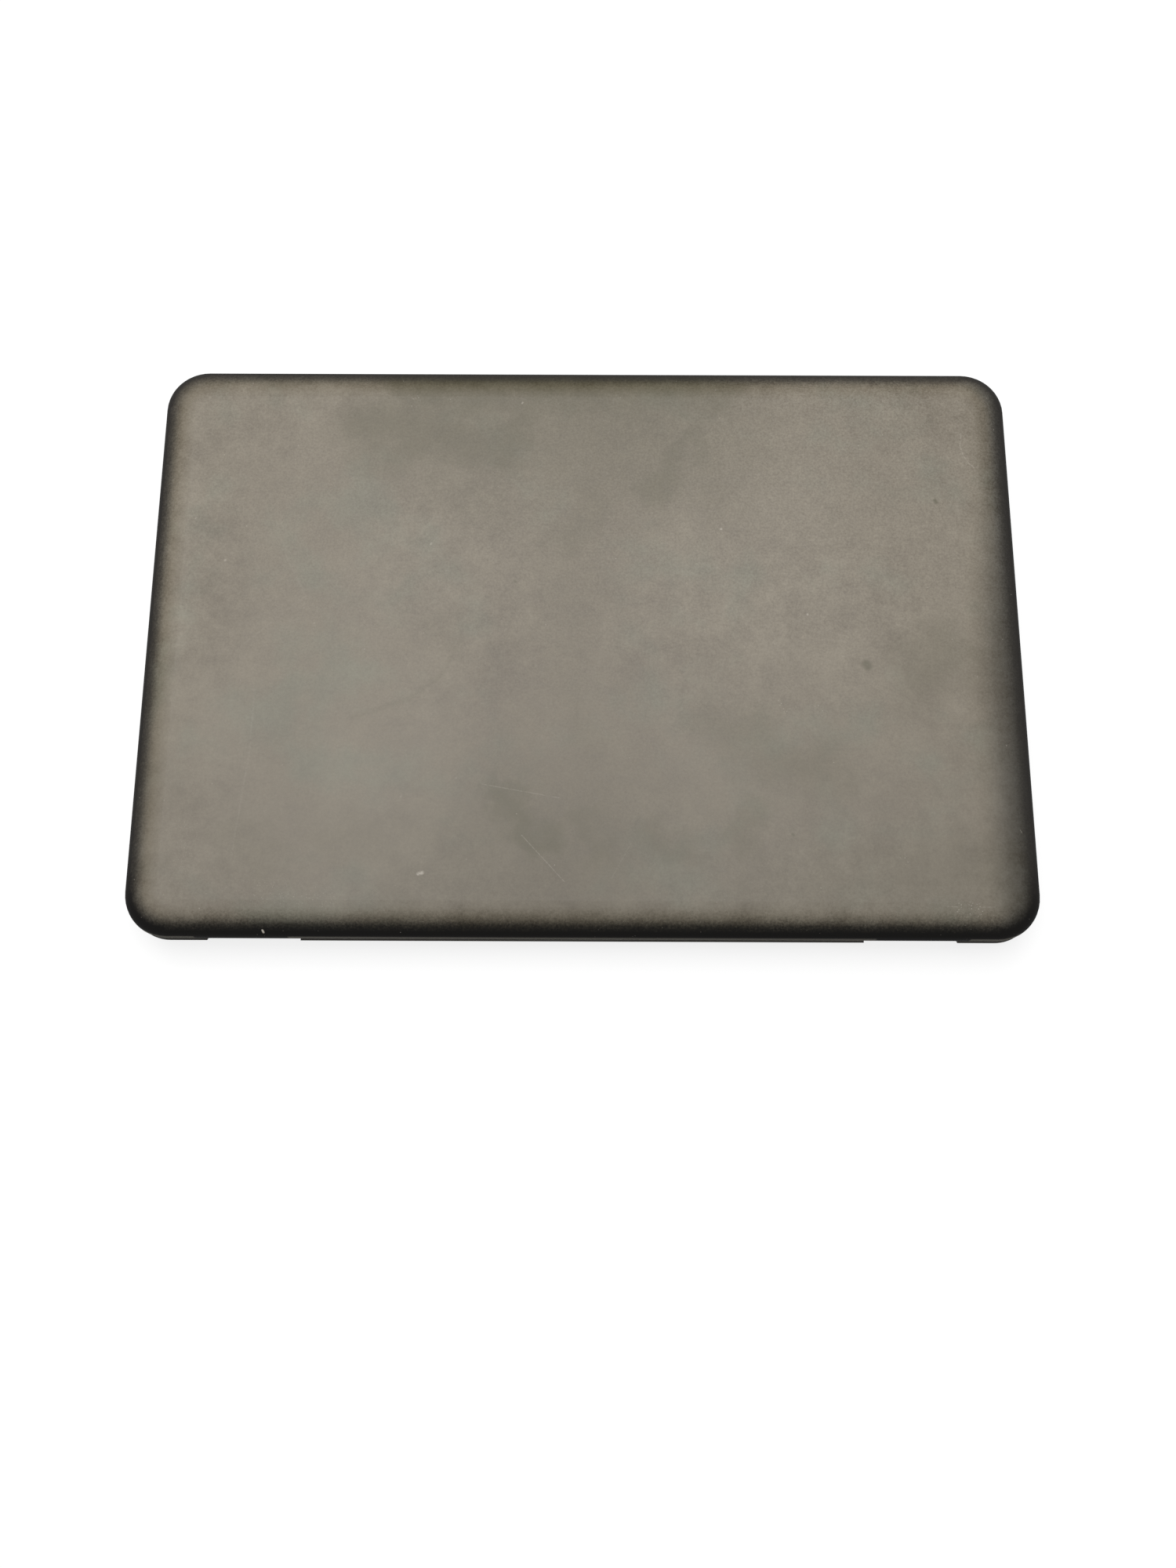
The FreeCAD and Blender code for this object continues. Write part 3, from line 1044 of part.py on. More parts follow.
def audio_jack():
    """Headphone socket: a block on the board, and a collar that reaches through the side wall."""
    mouth = "side_x - jack_setback"
    block = box("jack_body", "jack_block", "jack_width", "jack_height",
                "wall_x - port_clearance - jack_block / 2", "jack_y", "board_top_z")
    tube = "base_wall + 2 * port_clearance"
    collar = rod("jack_tube", "jack_collar", tube, f"{mouth} - ({tube}) / 2", "jack_y", "jack_z")
    bore = rod("jack_bore", "jack_radius", "jack_depth + over", f"{mouth} - (jack_depth - over) / 2",
               "jack_y", "jack_z")
    return cut("audio_jack", fuse("jack_solid", block, collar), bore)


def card(name, length, x, y):
    """A plug-in card: a small board on its connector, with chips."""
    end = f"({length} - card_plug) / 2"
    board = box(name + "_board", length, "card_width", "strip_board", x, y, "board_top_z + card_lift")
    plug = box(name + "_plug", "card_plug", "0.9 * card_width", "card_lift", f"{x} - {end}", y, "board_top_z")
    stand = cylinder(name + "_stand", "card_stand", "card_lift", f"{x} + {end}", y, "board_top_z")
    chip = box(name + "_chip", f"0.55 * {length}", "0.65 * card_width", "card_lift", x, y,
               "board_top_z + card_lift + strip_board")
    return fuse(name, board, plug, stand, chip)


def screw_holes(name, spots):
    """Holes for small screws through a circuit board."""
    hole = cylinder(name, "small_screw + screw_clearance", "board_thickness + 2 * over")
    return copies(name + "_at", hole, [(x, y, "board_z - over") for x, y in spots])


def electronics():
    """Boards, chips, cards, battery, loudspeakers, sockets and the cable in the base."""
    main = plan_prism("main_board",
                      [("-board_edge_x", "board_rear_y"), ("-board_edge_x", "board_front_y"),
                       ("board_step", "board_front_y"), ("board_step", "keys_y"), ("board_reach", "keys_y"),
                       ("board_reach", "board_rear_y")],
                      "board_thickness", "board_z")
    node("motherboard", cut("motherboard", main, *screw_holes("main_hole", BOARD_SPOTS[:4])))
    chips = [box("processor", "processor_width", "processor_depth", "chip_height", "-processor_x",
                 "processor_y", "board_top_z")]
    memory = slab("memory_chip", "memory_width", "memory_depth", "memory_corner", "chip_height")
    chips += copies("memory_at", memory, [("-memory_x", f"processor_y + {row} * memory_pitch", "board_top_z")
                                          for row in (-1.5, -0.5, 0.5, 1.5)])
    node("board_chips", group("board_chips", chips))
    node("heat_spreader", slab("heat_spreader", "spreader_width", "spreader_depth", "spreader_corner",
                               "spreader_thickness", "-processor_x", "processor_y",
                               "board_top_z + chip_height"))
    node("ssd_module", card("ssd_module", "ssd_length", "ssd_x", "ssd_y"))
    node("wifi_card", card("wifi_card", "wifi_length", "wifi_x", "wifi_y"))
    node("coin_cell", cylinder("coin_cell", "cell_radius", "cell_height", "-cell_x", "cell_y", "board_top_z"))
    node("board_screws", small_screws("board_screws", BOARD_SPOTS, "board_top_z",
                                      "board_thickness + post_height - sink", False))
    small = slab("io_plain", "io_width", "io_depth", "plate_corner", "board_thickness", "io_x", "io_y",
                 "board_z")
    node("io_board", cut("io_board", small, *screw_holes("io_hole", BOARD_SPOTS[4:])))
    node("battery_pack", slab("battery_pack", "battery_width", "battery_depth", "battery_corner",
                              "battery_thickness", "0", "battery_y", "floor_z", top_round="battery_edge"))
    speaker = slab("speaker_box", "speaker_width", "speaker_depth", "speaker_corner", "speaker_height",
                   "-speaker_x", "battery_y", "floor_z", top_round="speaker_edge")
    node("speaker_left", speaker)
    node("speaker_right", mirrored("speaker_right", speaker))
    for name in PORTS:
        left = socket(name)
        node(name, mirrored(name, left) if name in RIGHT_PORTS else left)
    node("audio_jack", audio_jack())
    lock = box("lock_block", "lock_plate", "lock_plate_width", "2 * lock_height", "wall_x - lock_plate / 2",
               "lock_y", "lock_z - lock_height / 2")
    slot = box("lock_slot", "3 * lock_plate", "lock_width", "lock_height", "wall_x", "lock_y", "lock_z")
    node("lock_slot_plate", cut("lock_slot_plate", lock, slot))
    node("status_light", box("status_light", "light_width - 2 * light_gap", "light_depth",
                             "light_height - 2 * light_gap", "-light_x",
                             "base_front_y + 2 * light_gap + light_depth / 2", "light_z + light_gap"))
    run = [("hinge_y - cable_rear", "cable_z"), ("hinge_y - cable_bend", "cable_z"),
           ("board_rear_y - cable_dip", "board_top_z"), ("board_rear_y - cable_front", "board_top_z")]
    upper = [(y, z + " + cable_thickness") for y, z in reversed(run)]
    node("display_cable_base", side_prism("display_cable_base", run + upper, "cable_width", "cable_x"))


def touchpad_and_button():
    """The clicking touchpad in its tray, and the power button."""
    node("touchpad", slab("touchpad", "touchpad_width", "touchpad_depth", "touchpad_corner",
                          "touchpad_thickness", "0", "touchpad_y", "touchpad_z"))
    inside = "touchpad_width + 2 * (touchpad_clearance + tray_room)"
    wall_height = "(ceiling_z - tray_z)"
    tray = box("tray", f"{inside} + 2 * tray_wall", "touchpad_depth", f"tray_floor + {wall_height}", "0",
               "touchpad_y", "tray_z - tray_floor")
    hollow = box("tray_hollow", inside, "touchpad_depth + 2 * over", f"{wall_height} + over", "0",
                 "touchpad_y", "tray_z")
    node("touchpad_bracket", cut("touchpad_bracket", tray, hollow))
    node("power_button", slab("power_button", "button_width", "button_depth", "button_corner",
                              "button_height", "button_x", "button_y",
                              "deck_z - button_recess - button_height"))


def feet_and_screws():
    """Rubber feet, the case screws, and the small screws of the hinges."""
    foot = slab("foot", "foot_length", "foot_depth", "foot_corner", "foot_height + foot_seat",
                bottom_round="foot_edge")
    node("rubber_feet", group("rubber_feet", copies("foot_at", foot, [(x, y, "0") for x, y in FOOT_SPOTS])))
    head = cylinder("case_screw_head", "screw_head", "screw_head_height", z="-screw_head_height")
    shank = cylinder("case_screw_shank", "screw_radius", "cup_roof + boss_bore_depth - screw_tip")
    screw = fuse("case_screw", head, shank)
    node("bottom_screws", group("bottom_screws", at_bosses("case_screw_at", screw, "cup_z - cup_roof")))
    node("hinge_bracket_screws", small_screws("hinge_bracket_screws", BRACKET_SCREWS, "bracket_z",
                                              "foot_plate + bracket_drop - sink", True))
    both = ARM_SCREWS + [(f"-({x})", y) for x, y in ARM_SCREWS]
    node("hinge_arm_screws", small_screws("hinge_arm_screws", both, "leaf_z",
                                          "foot_plate + lid_ceiling_z - leaf_top_z + sink", True))


# Build every sub-part.

MASTER = base_master()
node("palm_rest", palm_rest())
node("bottom_cover", bottom_cover())
node("lid_back_cover", lid_back_cover())
node("lid_bezel", lid_bezel())
node("hinge_covers", hinge_covers())
for piece in (hinge_bracket(), hinge_arm(), hinge_pin()):
    left = piece.Name
    right = left.replace("_left", "_right")
    node(left, piece)
    node(right, mirrored(right, piece))
nut = hinge_nut()
node("hinge_nuts", group("hinge_nuts", [nut, mirrored("nut_right", nut)]))
lid_pieces()
keyboard()
electronics()
touchpad_and_button()
feet_and_screws()

# Check everything before anything is written.
doc.recompute()
faults = [thing.Name for thing in doc.Objects if {"Invalid", "Error"} & set(thing.State)]
for name, thing in nodes.items():
    if thing.Shape.isNull() or not thing.Shape.isValid():
        faults.append(name)
if faults:
    raise SystemExit("failed: " + ", ".join(faults))
os.makedirs("parts", exist_ok=True)
for name, thing in nodes.items():
    thing.Shape.exportStep(f"parts/{name}.step")
print(len(nodes), "sub-parts written")
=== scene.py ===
# %% [markdown]
# # A slim laptop computer, closed on a white table
# The solids of the laptop come from a packed model and stay where they are. This script gives each of them
# its finish, adds the small things that a solid model leaves to the printer and the trimmer, and sets up a
# camera, a table and a soft light. The box of the solids is measured first, so that the last cell can show
# that nothing has grown past it. Blender counts in metres, and most lengths here are written in millimetres
# times MM.

# %% Load the packed model
import math
from functools import reduce

import bmesh
import bpy
from mathutils import Matrix, Vector


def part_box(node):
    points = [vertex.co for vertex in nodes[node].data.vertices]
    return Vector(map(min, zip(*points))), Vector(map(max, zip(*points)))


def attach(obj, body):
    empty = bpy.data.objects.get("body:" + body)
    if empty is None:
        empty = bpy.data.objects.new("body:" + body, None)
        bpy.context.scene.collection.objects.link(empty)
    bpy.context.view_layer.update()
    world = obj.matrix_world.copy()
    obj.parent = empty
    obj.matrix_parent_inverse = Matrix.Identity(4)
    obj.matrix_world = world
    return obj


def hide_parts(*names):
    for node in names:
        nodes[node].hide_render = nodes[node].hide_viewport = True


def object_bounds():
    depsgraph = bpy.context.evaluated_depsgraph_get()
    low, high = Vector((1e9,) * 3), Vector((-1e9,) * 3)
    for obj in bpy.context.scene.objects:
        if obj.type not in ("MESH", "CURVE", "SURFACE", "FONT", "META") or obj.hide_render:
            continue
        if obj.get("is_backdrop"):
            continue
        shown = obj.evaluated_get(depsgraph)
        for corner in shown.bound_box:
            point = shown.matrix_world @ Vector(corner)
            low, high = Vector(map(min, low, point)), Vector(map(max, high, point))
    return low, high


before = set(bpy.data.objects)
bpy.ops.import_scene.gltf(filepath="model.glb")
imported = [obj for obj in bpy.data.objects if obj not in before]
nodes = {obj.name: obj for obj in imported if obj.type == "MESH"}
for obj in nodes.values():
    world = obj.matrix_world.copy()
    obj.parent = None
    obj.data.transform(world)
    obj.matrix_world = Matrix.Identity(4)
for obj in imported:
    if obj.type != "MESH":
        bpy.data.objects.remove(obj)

MM = 0.001
cad_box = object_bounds()
scene = bpy.context.scene


def in_mm(*spots):
    """The coordinates of some points in millimetres, for a line of print."""
    return [round(value / MM, 1) for spot in spots for value in spot]


print("nodes:", len(nodes), "box in mm:", in_mm(*cad_box))

# %% [markdown]
# ## Values that can be added and multiplied
# A material in Blender is a graph of nodes with wires between them. It can be drawn by hand in the shader
# editor, but a drawn graph is slow to read back and to change. Here one small class wraps a socket, so that
# a sum or a product in Python adds the Math node for it. Python asks for the reflected form, such as
# __rsub__, where a plain number stands on the left, and so 1 - mask works too. Where one side is a vector,
# a Vector Math node is added.


# %% A socket that can be calculated with
class Flow:
    """One value, colour or vector on its way through a material."""

    def __init__(self, finish, socket):
        self.finish = finish
        self.socket = socket

    def join(self, operation, left, right):
        """A Math node, or a Vector Math node where one side is a vector."""
        vector = any(isinstance(side, Flow) and side.socket.type == "VECTOR" for side in (left, right))
        kind = "ShaderNodeVectorMath" if vector else "ShaderNodeMath"
        return self.finish.node(kind, {"operation": operation}, {0: left, 1: right})

    def __add__(self, other):
        return self.join("ADD", self, other)

    def __radd__(self, other):
        return self.join("ADD", other, self)

    def __sub__(self, other):
        return self.join("SUBTRACT", self, other)

    def __rsub__(self, other):
        return self.join("SUBTRACT", other, self)

    def __mul__(self, other):
        return self.join("MULTIPLY", self, other)

    def __rmul__(self, other):
        return self.join("MULTIPLY", other, self)

    def __truediv__(self, other):
        return self.join("DIVIDE", self, other)

    def __rtruediv__(self, other):
        return self.join("DIVIDE", other, self)

    def __abs__(self):
        return self.join("ABSOLUTE", self, 0.0)

    def most(self, other):
        return self.join("MAXIMUM", self, other)

    def least(self, other):
        return self.join("MINIMUM", self, other)

    def length(self):
        return self.finish.node("ShaderNodeVectorMath", {"operation": "LENGTH"}, {0: self}, "Value")

    def dot(self, other):
        settings = {"operation": "DOT_PRODUCT"}
        return self.finish.node("ShaderNodeVectorMath", settings, {0: self, 1: other}, "Value")

    def scaled(self, factor):
        return self.finish.node("ShaderNodeVectorMath", {"operation": "SCALE"}, {0: self, "Scale": factor})

    def parts(self):
        """The x, y and z of a vector."""
        split = self.finish.node("ShaderNodeSeparateXYZ", values={0: self}).socket.node
        return [Flow(self.finish, output) for output in split.outputs]

    def ramp(self, low, high, start=0.0, end=1.0):
        """A soft step: start below low, end above high."""
        settings = {"interpolation_type": "SMOOTHSTEP"}
        values = {"Value": self, "From Min": low, "From Max": high, "To Min": start, "To Max": end}
        return self.finish.node("ShaderNodeMapRange", settings, values)


print("a Flow is", Flow.__doc__)

# %% [markdown]
# ## Materials built by calling methods
# The second class is a material. One of its methods, node, makes any node: its settings come first, because
# an operation or a data type decides which sockets count, and then the values and links. The other methods
# are short names for the nodes that this laptop needs often: noise for clouds and grain, cells for
# scattered specks, and the shader that stands for most real surfaces. Colours are written as on a paint
# chart and turned into linear light, because a shader adds light up and a paint chart doesn't.


# %% A material
def paint(red, green, blue):
    """A colour as a paint chart gives it, 0 to 255, turned into the linear light that shaders use."""
    shares = [channel / 255 for channel in (red, green, blue)]
    return tuple(s / 12.92 if s <= 0.04045 else ((s + 0.055) / 1.055) ** 2.4 for s in shares)


class Finish:
    """A material with the nodes that this script asks for."""

    library, end = "materials", "ShaderNodeOutputMaterial"

    def __init__(self, name):
        self.material = getattr(bpy.data, self.library).new(name)
        self.material.use_nodes = True
        self.tree = self.material.node_tree
        self.tree.nodes.clear()

    def feed(self, socket, value):
        """Give a socket its link, colour, vector or number."""
        if isinstance(value, Flow):
            self.tree.links.new(value.socket, socket)
        elif socket.type == "RGBA":
            socket.default_value = (*value[:3], 1.0)
        elif socket.type == "VECTOR" and isinstance(value, (int, float)):
            socket.default_value = (value,) * 3
        else:
            socket.default_value = value

    def node(self, kind, settings=None, values=None, out=0):
        """Any node: its settings first, then the values and links of its sockets."""
        made = self.tree.nodes.new(kind)
        for name, value in (settings or {}).items():
            setattr(made, name, value)
        for key, value in (values or {}).items():
            self.feed(made.inputs[key], value)
        return Flow(self, made.outputs[out]) if made.outputs else None

    def place(self):
        """Where a point is on the object, in millimetres."""
        return self.node("ShaderNodeTexCoord", out="Object").scaled(1 / MM)

    def facing(self):
        """Which way the surface faces on the object, before any bump."""
        return self.node("ShaderNodeTexCoord", out="Normal")

    def vector(self, x, y, z=0.0):
        return self.node("ShaderNodeCombineXYZ", values={0: x, 1: y, 2: z})

    def noise(self, spot, size, detail, rough, out=0):
        """Cloudy noise whose blots are about size millimetres wide."""
        values = {"Vector": spot, "Scale": 1 / size, "Detail": detail, "Roughness": rough}
        return self.node("ShaderNodeTexNoise", values=values, out=out)

    def cells(self, spot, size):
        """Distance to the nearest of many scattered points, about size millimetres apart."""
        return self.node("ShaderNodeTexVoronoi", values={"Vector": spot, "Scale": 1 / size}, out="Distance")

    def mix(self, share, first, second):
        """A colour between two others."""
        return self.node("ShaderNodeMix", {"data_type": "RGBA"}, {0: share, 6: first, 7: second}, 2)

    def shade(self, colour, amount):
        """A colour multiplied by another colour, or by a number that may vary."""
        settings = {"data_type": "RGBA", "blend_type": "MULTIPLY"}
        return self.node("ShaderNodeMix", settings, {0: 1.0, 6: colour, 7: amount}, 2)

    def bump(self, height, distance, strength):
        """Relief of that many millimetres, for the Normal of a shader."""
        values = {"Height": height, "Distance": distance * MM, "Strength": strength}
        return self.node("ShaderNodeBump", values=values)

    def surface(self, **values):
        """The shader for most surfaces. Base_Color stands for its socket Base Color, and so on."""
        values = {name.replace("_", " "): value for name, value in values.items()}
        return self.node("ShaderNodeBsdfPrincipled", values=values)

    def blend(self, share, first, second):
        """A shader between two others."""
        return self.node("ShaderNodeMixShader", values={0: share, 1: first, 2: second})

    def done(self, shader):
        self.node(self.end, values={"Surface": shader})


print("paint(128, 128, 128) is", [round(v, 3) for v in paint(128, 128, 128)])

# %% [markdown]
# ## The camera
# The picture looks steeply down on the closed lid from the hinge side. A camera could be dragged about
# until it looks right. Here its tilt, turn, roll and distance were fitted to the lid's outline, and they
# are kept in the picture's own axes and then turned into the model's, so that each can be changed by
# itself. A lens of 28.8 mm on a frame 36 mm tall gives the picture's perspective, in which the near edge of
# the lid is wider than the far one.

# %% Camera
PITCH, YAW, ROLL = math.radians(76.97), math.radians(-0.37), math.radians(0.14)
DISTANCE, SLIDE = 418.5 * MM, Vector((-1.42 * MM, 51.71 * MM, 0))
FOCAL, FRAME_TALL = 28.8, 36.0  # mm, as Blender's lenses are given
LID_MIDDLE = Vector((0, -0.15 * MM, cad_box[1].z))

forward = Vector((0, math.cos(PITCH), -math.sin(PITCH)))
right = Vector((1, 0, 0))
above = Vector((0, math.sin(PITCH), math.cos(PITCH)))
axes = [right * math.cos(ROLL) - above * math.sin(ROLL),
        right * math.sin(ROLL) + above * math.cos(ROLL), -forward]
turn_back = Matrix.Rotation(-YAW, 3, "Z")
half_turn = Matrix.Rotation(math.pi, 3, "Z")  # the picture's far side is the model's front
axes = [half_turn @ turn_back @ axis for axis in axes]
camera_spot = half_turn @ turn_back @ (-DISTANCE * forward - SLIDE) + LID_MIDDLE

lens = bpy.data.cameras.new("camera")
lens.sensor_fit = "VERTICAL"
lens.sensor_height = lens.sensor_width = FRAME_TALL
lens.lens = FOCAL
lens.clip_start = 10 * MM
camera = bpy.data.objects.new("camera", lens)
camera.matrix_world = Matrix.Translation(camera_spot) @ Matrix(axes).transposed().to_4x4()
scene.collection.objects.link(camera)
scene.camera = camera
print("camera at", in_mm(camera_spot), "mm")

# %% [markdown]
# ## The sky
# In a studio the white walls are lit as brightly as the goods. Walls that bright would also light the
# laptop from all sides and flatten its rolled edges. Light Path tells the world which ray is asking, so the
# sky is white to the camera and to glossy and clear surfaces that mirror it, and dim to the rays that light
# the laptop.

# %% Sky
scene.view_settings.view_transform = "Standard"
WHITE, BLACK = (1, 1, 1), (0, 0, 0)
SKY_LIGHT = 0.32  # of white, for the rays that light the laptop


def seen(finish):
    """1 where a ray comes from the camera, or by way of a mirror or glass."""
    path = finish.node("ShaderNodeLightPath").socket.node
    kinds = ("Is Camera Ray", "Is Glossy Ray", "Is Transmission Ray")
    return reduce(Flow.most, [Flow(finish, path.outputs[kind]) for kind in kinds])


class Sky(Finish):
    """The world has nodes as a material has."""

    library, end = "worlds", "ShaderNodeOutputWorld"


sky = Sky("studio")
strength = seen(sky) * (1 - SKY_LIGHT) + SKY_LIGHT
sky.done(sky.node("ShaderNodeBackground", values={"Color": WHITE, "Strength": strength}))
scene.world = sky.material
print("sky lights the laptop with", SKY_LIGHT, "of white")

# %% [markdown]
# ## The table
# A sheet of white paper would do in a studio. A plain white floor in Blender turns grey where the lamp
# falls off and throws its light back up under the edges, so this one glows white for the same rays as the
# sky, and what light it throws back is that of a dark grey. The grey keeps the laptop's soft shadow, and it
# fades out far from the laptop so that the table runs into the sky without a line.


# %% Table
def mesh_of(shape, name):
    """A mesh from a finished bmesh."""
    mesh = bpy.data.meshes.new(name)
    shape.to_mesh(mesh)
    shape.free()
    return mesh


FLOOR_Z, FLOOR_RADIUS = cad_box[0].z, 6.0
NEAR, FAR = 250.0, 1100.0  # mm from the laptop, where its shadow fades out
SHADOW_GREY, GLOW_NEAR = (0.24, 0.24, 0.24), 0.80  # the two together look white where the lamp shines
shape = bmesh.new()
bmesh.ops.create_circle(shape, cap_ends=True, segments=96, radius=FLOOR_RADIUS)
floor_mesh = mesh_of(shape, "floor")
floor = bpy.data.objects.new("floor", floor_mesh)
floor.location.z = FLOOR_Z
scene.collection.objects.link(floor)
floor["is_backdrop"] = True

table = Finish("table_white")
away = table.place().length().ramp(NEAR, FAR)
glow = seen(table) * (GLOW_NEAR + away * (1 - GLOW_NEAR))
ground = table.mix(away, SHADOW_GREY, BLACK)
table.done(table.surface(Base_Color=ground, Roughness=1.0, Specular_IOR_Level=0.0,
                         Emission_Color=table.mix(glow, BLACK, WHITE), Emission_Strength=1.0))
floor_mesh.materials.append(table.material)
print("table at z =", round(FLOOR_Z / MM, 2), "mm")

# %% [markdown]
# ## The lamp
# A small lamp gives a hard shadow and a bright spot on a satin lid. Photographers hang up a softbox
# instead, a wide flat lamp, and Blender's area lamp is just that. One is enough: it hangs high above the
# table and a little to the front, so that the flat top is bright and the rolled edges fall off into shade.

# %% Lamp
LAMP_SPOT = Vector((0.06, -0.25, 0.95))
LAMP_WIDE, LAMP_DEEP, LAMP_WATTS = 0.9, 0.8, 9.9
lamp = bpy.data.lights.new("overhead_lamp", "AREA")
lamp.shape = "RECTANGLE"
lamp.size, lamp.size_y, lamp.energy = LAMP_WIDE, LAMP_DEEP, LAMP_WATTS
holder = bpy.data.objects.new("overhead_lamp", lamp)
holder.location = LAMP_SPOT
holder.rotation_euler = (-LAMP_SPOT).to_track_quat("-Z", "Y").to_euler()
scene.collection.objects.link(holder)
print("lamp", in_mm(LAMP_SPOT), "mm from the laptop's middle,", LAMP_WATTS, "W")

# %% [markdown]
# ## The lid's plastic
# The lid is a moulded shell of warm grey plastic with a fine grain and a satin sheen. Years of hands have
# left it cloudy, and that is what makes it look like plastic in use. A painted picture could show all this,
# but it would need unwrapping and would blur near by. So the finish is built from noise at several scales,
# from blots a few centimetres wide down to the grain, read from the place on the object in millimetres.

# %% Lid: noise at several scales
lid = Finish("lid_plastic")
at = lid.place()
flat = at * (1, 1, 0)  # the same spot whatever its height
x, y, z = at.parts()
clouds = lid.noise(at, 70.0, 2.0, 0.5)  # size in mm, detail, roughness
mottle = lid.noise(at, 22.0, 6.0, 0.9)
grain = lid.noise(at, 0.75, 3.0, 0.8)
wiped = lid.noise(at * (1.0, 0.4, 1.0), 24.0, 3.0, 0.55)
# A shift takes another part of the same noise.
patches = lid.noise(at + 150.0, 55.0, 1.0, 0.5).ramp(0.35, 0.7, 0.8, 1.3)
tint = lid.noise(at + 300.0, 34.0, 4.0, 0.6).ramp(0.5, 0.7)
near_hinge = y.ramp(70.0, 98.0)
print("lid:", len(lid.tree.nodes), "nodes so far")

# %% [markdown]
# ## Drawing a mark
# A scratch could be a thin mesh or a line in a painted picture. Here it is a mask worked out in the shader:
# the distance from a point to a chain of straight runs, turned by a soft step into 1 on the chain and 0
# away from it. It needs no picture, stays sharp from near by, and serves for hair-thin scratches and wide
# smudges alike. Each mark in the lists below has its chain of points on the lid in mm, its half width in mm
# and its strength.

# %% Lid: chains of straight runs
CRISP, SOFT = (0.35, 1.6), (0.0, 2.1)  # where a mark's rim starts and ends, in half widths


def stroke(spot, points, half_width, rim):
    """1 on a chain of straight runs and 0 away from it, fading over the rim."""
    gaps = []
    for start, end in zip(points, points[1:]):
        run = Vector((*end, 0)) - Vector((*start, 0))
        reach = spot - (*start, 0)
        along = reach.dot(tuple(run / run.length_squared)).most(0.0).least(1.0)
        gaps.append((reach - spot.finish.vector(along * run.x, along * run.y)).length())
    return reduce(Flow.least, gaps).ramp(half_width * rim[0], half_width * rim[1], 1.0, 0.0)


def marked(spot, marks, rim):
    """All marks of a list in one mask. Where two lie on each other, the stronger one counts."""
    return reduce(Flow.most, [stroke(spot, points, half_width, rim) * strength
                              for points, half_width, strength in marks])


print("rims in half widths: crisp", CRISP, "soft", SOFT)

# %% [markdown]
# ## Pale scratches, nicks and specks
# Where something hard has scraped the lid the plastic is paler: hair-thin scratches, single nicks, and
# scuffs, which are patches of tiny flecks. These few are placed one by one. The specks that lie all over
# the lid come from cells, scattered points with the distance to the nearest, since no one would set them by
# hand. The grain breaks the scratches up, as a point that skips over a rough surface does.

# %% Lid: pale marks
PALE_MARKS = [
    ([(33.6, 51.7), (7.4, 56.4)], 0.13, 0.13),
    ([(20.2, 68.9), (5.8, 84.5)], 0.13, 0.16),
    ([(111.5, 19.2), (112.0, 41.2), (115.6, 75.9)], 0.30, 0.04),
    ([(-16.1, 71.4), (-9.6, 83.2)], 0.16, 0.05),
    ([(53.9, 82.0), (52.5, 81.6)], 0.55, 0.40),
    ([(-134.2, -77.2), (-133.6, -72.5), (-134.4, -69.0), (-136.0, -65.9), (-138.0, -64.0)], 0.22, 0.14),
    ([(-71.6, -6.9), (-92.9, 0.2)], 0.18, 0.04),
    ([(105.2, -32.2), (96.1, -14.8), (119.1, 5.2)], 0.30, 0.03),
    ([(104.5, 100.5), (104.2, 101.1)], 0.30, 0.90),
    ([(53.3, -34.5), (53.5, -34.2)], 0.30, 0.22),
    ([(26.7, -2.8), (26.9, -2.6)], 0.30, 0.20),
    ([(60.4, 55.8), (60.6, 56.0)], 0.36, 0.18),
    ([(-47.9, -40.4), (-48.0, -40.2)], 0.34, 0.40),
    ([(-77.1, -8.8), (-77.2, -8.6)], 0.34, 0.34),
    ([(22.3, -88.8), (22.5, -88.6)], 0.34, 0.26),
    ([(136.2, -43.9), (136.4, -43.6)], 0.34, 0.22),
    ([(124.6, -28.1), (124.9, -27.8)], 0.36, 0.20),
    ([(-145.0, 66.4), (-145.6, 67.4)], 0.12, 0.20),
    ([(-119.3, 92.0), (-122.4, 92.2)], 0.14, 0.10),
    ([(-130.2, 92.3), (-134.8, 92.2)], 0.14, 0.09),
]
SCUFFS = [
    ([(-124.2, 92.4), (-129.0, 93.6)], 2.2, 0.40),
    ([(-67.4, 22.6), (-68.6, 25.0)], 1.7, 0.34),
    ([(-79.0, 24.2), (-81.0, 26.8)], 1.0, 0.34),
    ([(60.4, -90.4), (61.6, -87.2)], 1.3, 0.34),
    ([(-105.0, 75.6), (-106.4, 77.4)], 1.2, 0.30),
    ([(106.0, 88.0), (84.0, 90.0)], 4.0, 0.14),
    ([(131.0, 66.0), (132.0, 84.0)], 4.0, 0.10),
]
SPECK, FLECK = 0.22, 0.16  # strengths
scratches = marked(flat, PALE_MARKS, CRISP) * grain.ramp(0.3, 0.6)
specks = lid.cells(at, 7.0).ramp(0.018, 0.034, 1.0, 0.0) * SPECK
flecks = lid.cells(at + 40.0, 2.6).ramp(0.03, 0.07, 1.0, 0.0) * near_hinge * FLECK
crumbs = lid.cells(at + 80.0, 0.85).ramp(0.10, 0.26, 1.0, 0.0)
pale = scratches.most(specks).most(flecks).most(marked(flat, SCUFFS, CRISP) * crumbs)
print("pale marks:", len(PALE_MARKS), "scuffs:", len(SCUFFS))
